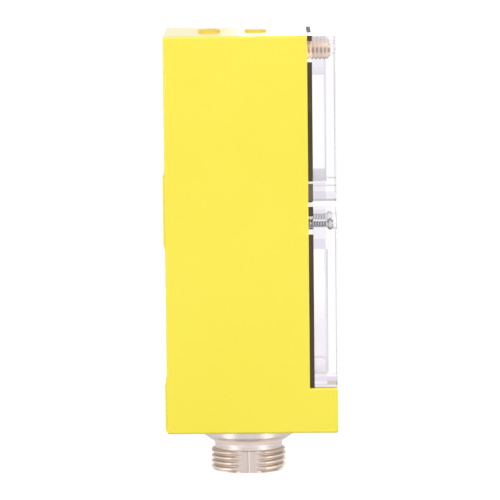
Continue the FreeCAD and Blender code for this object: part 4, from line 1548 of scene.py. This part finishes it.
@dataclass
class Connector(FrameShapes):
    """The threaded die casting with its seal, insulator, pins and locknut."""

    thread_width: float = 22.2 * MM
    thread_length: float = 6.6 * MM
    thread_chamfer: float = 0.6 * MM
    thread_pitch: float = 1.5875 * MM
    thread_depth: float = 0.97 * MM
    thread_run_out: float = 0.3 * MM
    thread_turn: float = 0.22
    thread_rows: int = 72
    neck_width: float = 20.1 * MM
    neck_length: float = 1.8 * MM
    neck_ease: float = 0.4 * MM
    flange_thick: float = 1.9 * MM
    flange_taper: float = 2.4 * MM
    flange_edge: float = 0.3 * MM
    flange_rim: float = 0.2 * MM
    shank_width: float = 19.0 * MM
    shank_edge: float = 0.3 * MM
    socket_width: float = 18.0 * MM
    socket_depth: float = 9.6 * MM
    socket_edge: float = 0.25 * MM
    nose_edge: float = 0.15 * MM
    insert_width: float = 16.4 * MM
    key_width: float = 2.4 * MM
    key_rise: float = 1.1 * MM
    key_root: float = 0.5 * MM
    key_edge: float = 0.2 * MM
    flat_reach: float = 9.85 * MM
    shoulder: float = 0.35 * MM
    shoulder_edge: float = 0.08 * MM
    slot_reach: float = 9.3 * MM
    slot_height: float = 0.35 * MM
    seam_width: float = 0.3 * MM
    seam_rise: float = 0.1 * MM
    seam_root: float = 0.2 * MM
    seam_edge: float = 0.06 * MM
    steps: int = 192
    smoothing: float = 40

    def finishes(self) -> dict[str, Finish]:
        """Give the finish of each node that the casting holds.

        Returns:
            The finishes by the nodes' names.
        """
        return {
            "connector_seal": Finishes.gasket_black,
            "connector_locknut": Finishes.connector_nickel,
            "connector_insert": Finishes.insert_black,
            "connector_pins": Finishes.pin_gold,
        }

    def build(self) -> None:
        """Build the casting and dress the pieces it holds."""
        low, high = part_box("connector_shell")
        centre = Vector(((low.x + high.x) / 2, (low.y + high.y) / 2, 0.0))
        flange = (high.x - low.x) / 2
        end = low.z
        thread_top = end + self.thread_length
        neck_top = thread_top + self.neck_length
        flange_bottom = neck_top + self.flange_taper
        flange_top = flange_bottom + self.flange_thick
        socket_top = end + self.socket_depth
        crest, neck, shank = self.thread_width / 2, self.neck_width / 2, self.shank_width / 2
        socket, insert = self.socket_width / 2, self.insert_width / 2
        lathe = Lathe(Axis.UP_Z, centre, self.steps)
        shell = lathe.turned("connector_casting", [
            Corner(end, socket, self.socket_edge),
            Corner(end, crest - self.thread_chamfer, self.nose_edge),
            Corner(end + self.thread_chamfer, crest, rows=self.thread_rows),
            Corner(thread_top - self.shoulder, crest, self.shoulder_edge),
            Corner(thread_top, neck, self.shoulder_edge),
            Corner(neck_top, neck, self.neck_ease),
            Corner(flange_bottom, flange, self.flange_edge),
            Corner(flange_top, flange, self.flange_rim),
            Corner(flange_top, shank),
            Corner(high.z, shank, self.shank_edge),
            Corner(high.z, insert),
            Corner(socket_top, insert),
            Corner(socket_top, socket),
        ], closed=True)
        lathe.cut_thread(shell, Thread(
            self.thread_pitch, self.thread_depth, end, thread_top, self.thread_run_out, self.thread_turn,
        ), crest)
        self.flatten(shell, centre, thread_top)
        for side in SIDES:
            inner, outer = sorted((side * self.slot_reach, side * self.thread_width))
            slot = Bench.block(
                "slot",
                (centre.x - crest, inner, thread_top - self.slot_height / 2),
                (centre.x + crest, outer, thread_top + self.slot_height / 2),
            )
            Bench.combine(shell, slot, Tooling.CUT)
        seams = [self.seam(centre, side, end + self.thread_chamfer, thread_top) for side in SIDES]
        Bench.join(shell, [*seams, self.key(centre, end + self.thread_chamfer, socket_top)])
        Bench.smooth(shell, self.smoothing)
        Bench.level_normals(shell)
        stand_in("connector_shell", Finishes.connector_nickel, shell)
        self.dress()

    def flatten(self, shell: Piece, centre: Vector, top: float) -> None:
        """Press the flats where the halves of the mould meet, up to the top of the thread.

        Args:
            shell: The casting.
            centre: A point on its axis.
            top: The height where the flats end.
        """
        inner = self.socket_width / 2 + HAIR
        for point in shell.data.vertices:
            along, radius, _angle = Axis.UP_Z.polar(centre, point.co)
            if along <= top + HAIR and radius > inner:
                point.co.y = min(self.flat_reach, max(-self.flat_reach, point.co.y))
        shell.data.update()

    def seam(self, centre: Vector, side: int, low: float, high: float) -> Piece:
        """Make the fine ridge down the middle of one flat.

        Args:
            centre: A point on the casting's axis.
            side: Which flat: -1 or 1.
            low: The ridge's lower end.
            high: Its upper end.

        Returns:
            The ridge.
        """
        near, far = sorted((
            side * (self.flat_reach - self.seam_root), side * (self.flat_reach + self.seam_rise),
        ))
        half = self.seam_width / 2
        ridge = Bench.block("seam", (centre.x - half, near, low), (centre.x + half, far, high))
        Bench.ease_edges(
            ridge, self.seam_edge, 2, lambda first, second: abs(first.y + second.y) / 2 > self.flat_reach
        )
        return ridge

    def key(self, centre: Vector, low: float, high: float) -> Piece:
        """Make the key that stands in the socket.

        Args:
            centre: A point on the casting's axis.
            low: The key's lower end.
            high: Its upper end.

        Returns:
            The key.
        """
        socket = centre.x + self.socket_width / 2
        half = self.key_width / 2
        key = Bench.block("key", (socket - self.key_rise, -half, low), (socket + self.key_root, half, high))
        Bench.ease_edges(key, self.key_edge, 3, lambda first, second: max(first.x, second.x) < socket)
        return key


@dataclass
class Indicators(FrameShapes):
    """The two amber lenses on the top face, and the diodes and board under them."""

    stem_width: float = 4.6 * MM
    stem_edge: float = 0.2 * MM
    cap_edge: float = 0.35 * MM
    dish: float = 0.12 * MM
    dish_edge: float = 0.3 * MM
    dish_shares: Span = (0.72, 0.6)
    steps: int = 96
    smoothing: float = 35

    def finishes(self) -> dict[str, Finish]:
        """Give the finish of each node under the lenses.

        Returns:
            The finishes by the nodes' names.
        """
        return {
            "indicator_board": Finishes.board_green,
            "indicator_link": Finishes.chip_black,
            "indicator_diodes": Finishes.diode_amber,
        }

    def build(self) -> None:
        """Turn each lens and dress what is under it."""
        _low, housing_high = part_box("housing")
        stem = self.stem_width / 2
        for label in ("power_indicator", "beam_indicator"):
            low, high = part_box(label)
            centre = Vector(((low.x + high.x) / 2, (low.y + high.y) / 2, 0.0))
            cap = (high.x - low.x) / 2
            rim, bottom = (cap * share for share in self.dish_shares)
            lens = Lathe(Axis.UP_Z, centre, self.steps).turned(label + "_lens", [
                Corner(low.z, 0.0),
                Corner(low.z, stem, self.stem_edge),
                Corner(housing_high.z, stem),
                Corner(housing_high.z, cap),
                Corner(high.z, cap, self.cap_edge),
                Corner(high.z, rim, self.dish_edge),
                Corner(high.z - self.dish, bottom, self.dish_edge),
                Corner(high.z - self.dish, 0.0),
            ])
            Bench.smooth(lens, self.smoothing)
            stand_in(label, Finishes.indicator_amber, lens)
        self.dress()


@dataclass
class MountingInserts:
    """The four tapped brass inserts in the rear pads."""

    width: float = 7.0 * MM
    bore: float = 4.2 * MM
    groove_depth: float = 0.4 * MM
    groove_length: float = 1.6 * MM
    thread_pitch: float = 0.8 * MM
    thread_depth: float = 0.4 * MM
    run_out: float = 0.4 * MM
    lead_in: float = 0.45 * MM
    lead_edge: float = 0.05 * MM
    inner_edge: float = 0.2 * MM
    outer_edge: float = 0.15 * MM
    rows: int = 80
    steps: int = 48
    smoothing: float = 45

    def build(self) -> None:
        """Turn one insert, tap it and copy it to the other corners."""
        low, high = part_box("mounting_inserts")
        outer, bore = self.width / 2, self.bore / 2
        centre = Vector((0.0, high.y - outer, high.z - outer))
        middle, half = (low.x + high.x) / 2, self.groove_length / 2
        lathe = Lathe(Axis.ALONG_X, centre, self.steps)
        insert = lathe.turned("mounting_insert_1", [
            Corner(low.x, bore + self.lead_in, self.lead_edge),
            Corner(low.x + self.lead_in, bore, rows=self.rows),
            Corner(high.x, bore),
            Corner(high.x, outer, self.inner_edge),
            Corner(middle + half, outer),
            Corner(middle + half, outer - self.groove_depth),
            Corner(middle - half, outer - self.groove_depth),
            Corner(middle - half, outer),
            Corner(low.x, outer, self.outer_edge),
        ], closed=True)
        thread = Thread(self.thread_pitch, self.thread_depth, low.x + self.lead_in, high.x, self.run_out)
        lathe.cut_thread(insert, thread, bore, outward=True)
        Bench.smooth(insert, self.smoothing)
        others = [
            Bench.copy(insert, f"mounting_insert_{index}", Vector((0.0, y * centre.y, z * centre.z)))
            for index, (y, z) in enumerate(((0, -2), (-2, 0), (-2, -2)), start=2)
        ]
        stand_in("mounting_inserts", Finishes.insert_brass, insert, *others)


@dataclass(frozen=True)
class SoftBox:
    """A lamp with its place, the point that it faces, its width and height, and its power in watts."""

    label: str
    place: Vector
    aim: Vector
    size: Span
    power: float

    def hang(self) -> None:
        """Hang the lamp, unseen through clear pieces."""
        light = bpy.data.lights.new(self.label, "AREA")
        light.shape = "RECTANGLE"
        light.size, light.size_y = self.size
        light.energy = self.power
        lamp = bpy.data.objects.new(self.label, light)
        lamp.location = self.place
        lamp.rotation_euler = (self.aim - self.place).to_track_quat("-Z", "Y").to_euler()
        lamp.visible_transmission = False
        bpy.context.scene.collection.objects.link(lamp)


PART_MIDDLE = Vector((25.0, 0.0, 0.0)) * MM


@dataclass
class Studio:
    """The pale floor, the soft light and the camera at the photograph's angle."""

    camera_place: Vector = field(default_factory=lambda: Vector((30.65, -1312.9, 157.95)) * MM)
    yaw: float = math.radians(-0.231)
    pitch: float = math.radians(6.202)
    roll: float = math.radians(-0.58)
    focal_pixels: float = 4421.4
    frame_pixels: float = 500.0
    sensor_width: float = 36.0
    clip: Span = (0.05, 50.0)
    light_shade: Colour = (1.0, 0.99, 0.975)
    sky_light: float = 1.14
    top_light: float = 0.42
    top_heights: Span = (0.25, 0.9)
    strip_shade: Colour = (0.82, 0.79, 0.86)
    strip_heights: Span = (0.062, 0.08)
    upper_shade: Colour = (1.0, 0.96, 1.0)
    upper_heights: Span = (0.108, 0.125)
    floor_size: float = 9.0
    floor_shade: float = 0.32
    floor_roughness: float = 0.9
    floor_glow: float = 0.83
    floor_sheen: float = 0.54
    floor_glint: float = 0.75
    glint_rise: Span = (math.radians(24), math.radians(42))
    glint_fall: Span = (math.radians(46), math.radians(62))
    dim_shade: Colour = (0.72, 0.69, 0.77)
    dim_middle: float = 0.04
    dim_sides: Span = (0.2, 0.5)
    dim_front: Span = (0.08, 0.16)
    lamps: tuple[SoftBox, ...] = (
        SoftBox("left_box", Vector((-0.62, -0.34, 0.16)), PART_MIDDLE, (0.42, 0.7), 1.7),
        SoftBox("right_box", Vector((0.67, -0.34, 0.16)), PART_MIDDLE, (0.42, 0.7), 1.7),
        SoftBox("back_box", Vector((0.27, 0.5, 0.175)), Vector((0.27, 0.0, 0.08)), (0.5, 0.15), 0.6),
        SoftBox("front_box", Vector((0.0, -1.6, 0.55)), PART_MIDDLE, (1.2, 0.7), 7.7),
    )

    def build(self) -> None:
        """Set up the world, the floor, the lamps and the camera."""
        bpy.context.scene.view_settings.view_transform = "Standard"
        self.build_world()
        self.build_floor()
        for lamp in self.lamps:
            lamp.hang()
        self.build_camera()

    def build_world(self) -> None:
        """Light the part evenly, and show gloss and clear pieces a pale low sky that dims higher up."""
        world = bpy.data.worlds.new("studio")
        bpy.context.scene.world = world
        world.use_nodes = True
        world.node_tree.nodes.clear()
        wiring = Wiring(world.node_tree)
        _x, _y, height = wiring.split(wiring.add("ShaderNodeTexCoord").outputs["Generated"])
        path = wiring.add("ShaderNodeLightPath").outputs
        bent = path["Is Transmission Ray"]
        seen = wiring.math("MAXIMUM", path["Is Camera Ray"], path["Is Glossy Ray"])
        overhead = wiring.spread(height, self.top_heights, (self.sky_light, self.top_light))
        strip = wiring.times(wiring.spread(height, self.strip_heights, RISE), bent)
        upper = wiring.times(wiring.spread(height, self.upper_heights, RISE), bent)
        sky = wiring.blend(upper, wiring.blend(strip, WHITE, self.strip_shade), self.upper_shade)
        light = wiring.add("ShaderNodeBackground", {"Color": self.light_shade, "Strength": overhead})
        shown = wiring.add("ShaderNodeBackground", {"Color": sky, "Strength": 1.0})
        mix = wiring.add("ShaderNodeMixShader", {
            "Fac": wiring.math("MAXIMUM", seen, bent), 1: light.outputs[0], 2: shown.outputs[0],
        })
        wiring.add("ShaderNodeOutputWorld", {"Surface": mix.outputs[0]})

    def build_floor(self) -> None:
        """Lay the pale floor, white to the camera and dimmer at the sides to gloss and clear pieces."""
        Bench.clear()
        low, _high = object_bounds()
        bpy.ops.mesh.primitive_plane_add(size=self.floor_size, location=(0.0, 0.0, low.z - HAIR))
        floor = Bench.name("studio_floor")
        material = bpy.data.materials.new("studio_floor")
        surface = Surface(material)
        x, y, _z = surface.split(surface.place)
        path = surface.add("ShaderNodeLightPath").outputs
        bent = path["Is Transmission Ray"]
        gloss = surface.times(path["Is Glossy Ray"], surface.math("SUBTRACT", 1.0, bent))
        sides = surface.spread(surface.off(x, self.dim_middle), self.dim_sides, RISE)
        front = surface.spread(y, self.dim_front, FALL)
        dim = surface.times(surface.math("MAXIMUM", sides, front), bent)
        aside = surface.off(x, CONNECTOR_AXIS)
        way = surface.math("ARCTAN2", aside, surface.times(y, -1.0))
        beam = surface.times(
            surface.spread(way, self.glint_rise, RISE), surface.spread(way, self.glint_fall, FALL)
        )
        glint = surface.times(beam, self.floor_glint)
        shine = surface.times(gloss, surface.math("ADD", glint, self.floor_sheen))
        shown = surface.math("MAXIMUM", path["Is Camera Ray"], bent)
        surface.put({
            "Base Color": (self.floor_shade,) * 3,
            "Roughness": self.floor_roughness,
            "Specular IOR Level": 0.0,
            "Emission Color": surface.blend(dim, WHITE, self.dim_shade),
            "Emission Strength": surface.math("ADD", shine, surface.times(shown, self.floor_glow)),
        })
        floor.data.materials.append(material)
        floor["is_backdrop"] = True

    def build_camera(self) -> None:
        """Stand the camera where the photograph was taken from."""
        data = bpy.data.cameras.new("camera")
        data.sensor_width = self.sensor_width
        data.lens = self.focal_pixels * self.sensor_width / self.frame_pixels
        data.clip_start, data.clip_end = self.clip
        camera = bpy.data.objects.new("camera", data)
        bpy.context.scene.collection.objects.link(camera)
        forward = Vector((
            math.sin(self.yaw) * math.cos(self.pitch),
            math.cos(self.yaw) * math.cos(self.pitch),
            -math.sin(self.pitch),
        ))
        level = Vector((math.cos(self.yaw), -math.sin(self.yaw), 0.0))
        upright = level.cross(forward)
        right = math.cos(self.roll) * level + math.sin(self.roll) * upright
        up = -math.sin(self.roll) * level + math.cos(self.roll) * upright
        turn = Matrix((right, up, -forward)).transposed().to_4x4()
        camera.matrix_world = Matrix.Translation(self.camera_place) @ turn
        bpy.context.scene.camera = camera


def main() -> None:
    """Build the part's looks round the frame, and the studio round the part."""
    logging.basicConfig(level=logging.INFO, format="%(name)s: %(message)s")
    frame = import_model()
    nodes = frame["nodes"]
    fasteners = CoverFasteners()
    Mouldings(nodes).dress()
    Electronics(nodes).dress()
    fasteners.build()
    ClearCovers(fasteners).build()
    Connector(nodes).build()
    Indicators(nodes).build()
    MountingInserts().build()
    Studio().build()
    Bench.clear()


if __name__ == "__main__":
    main()
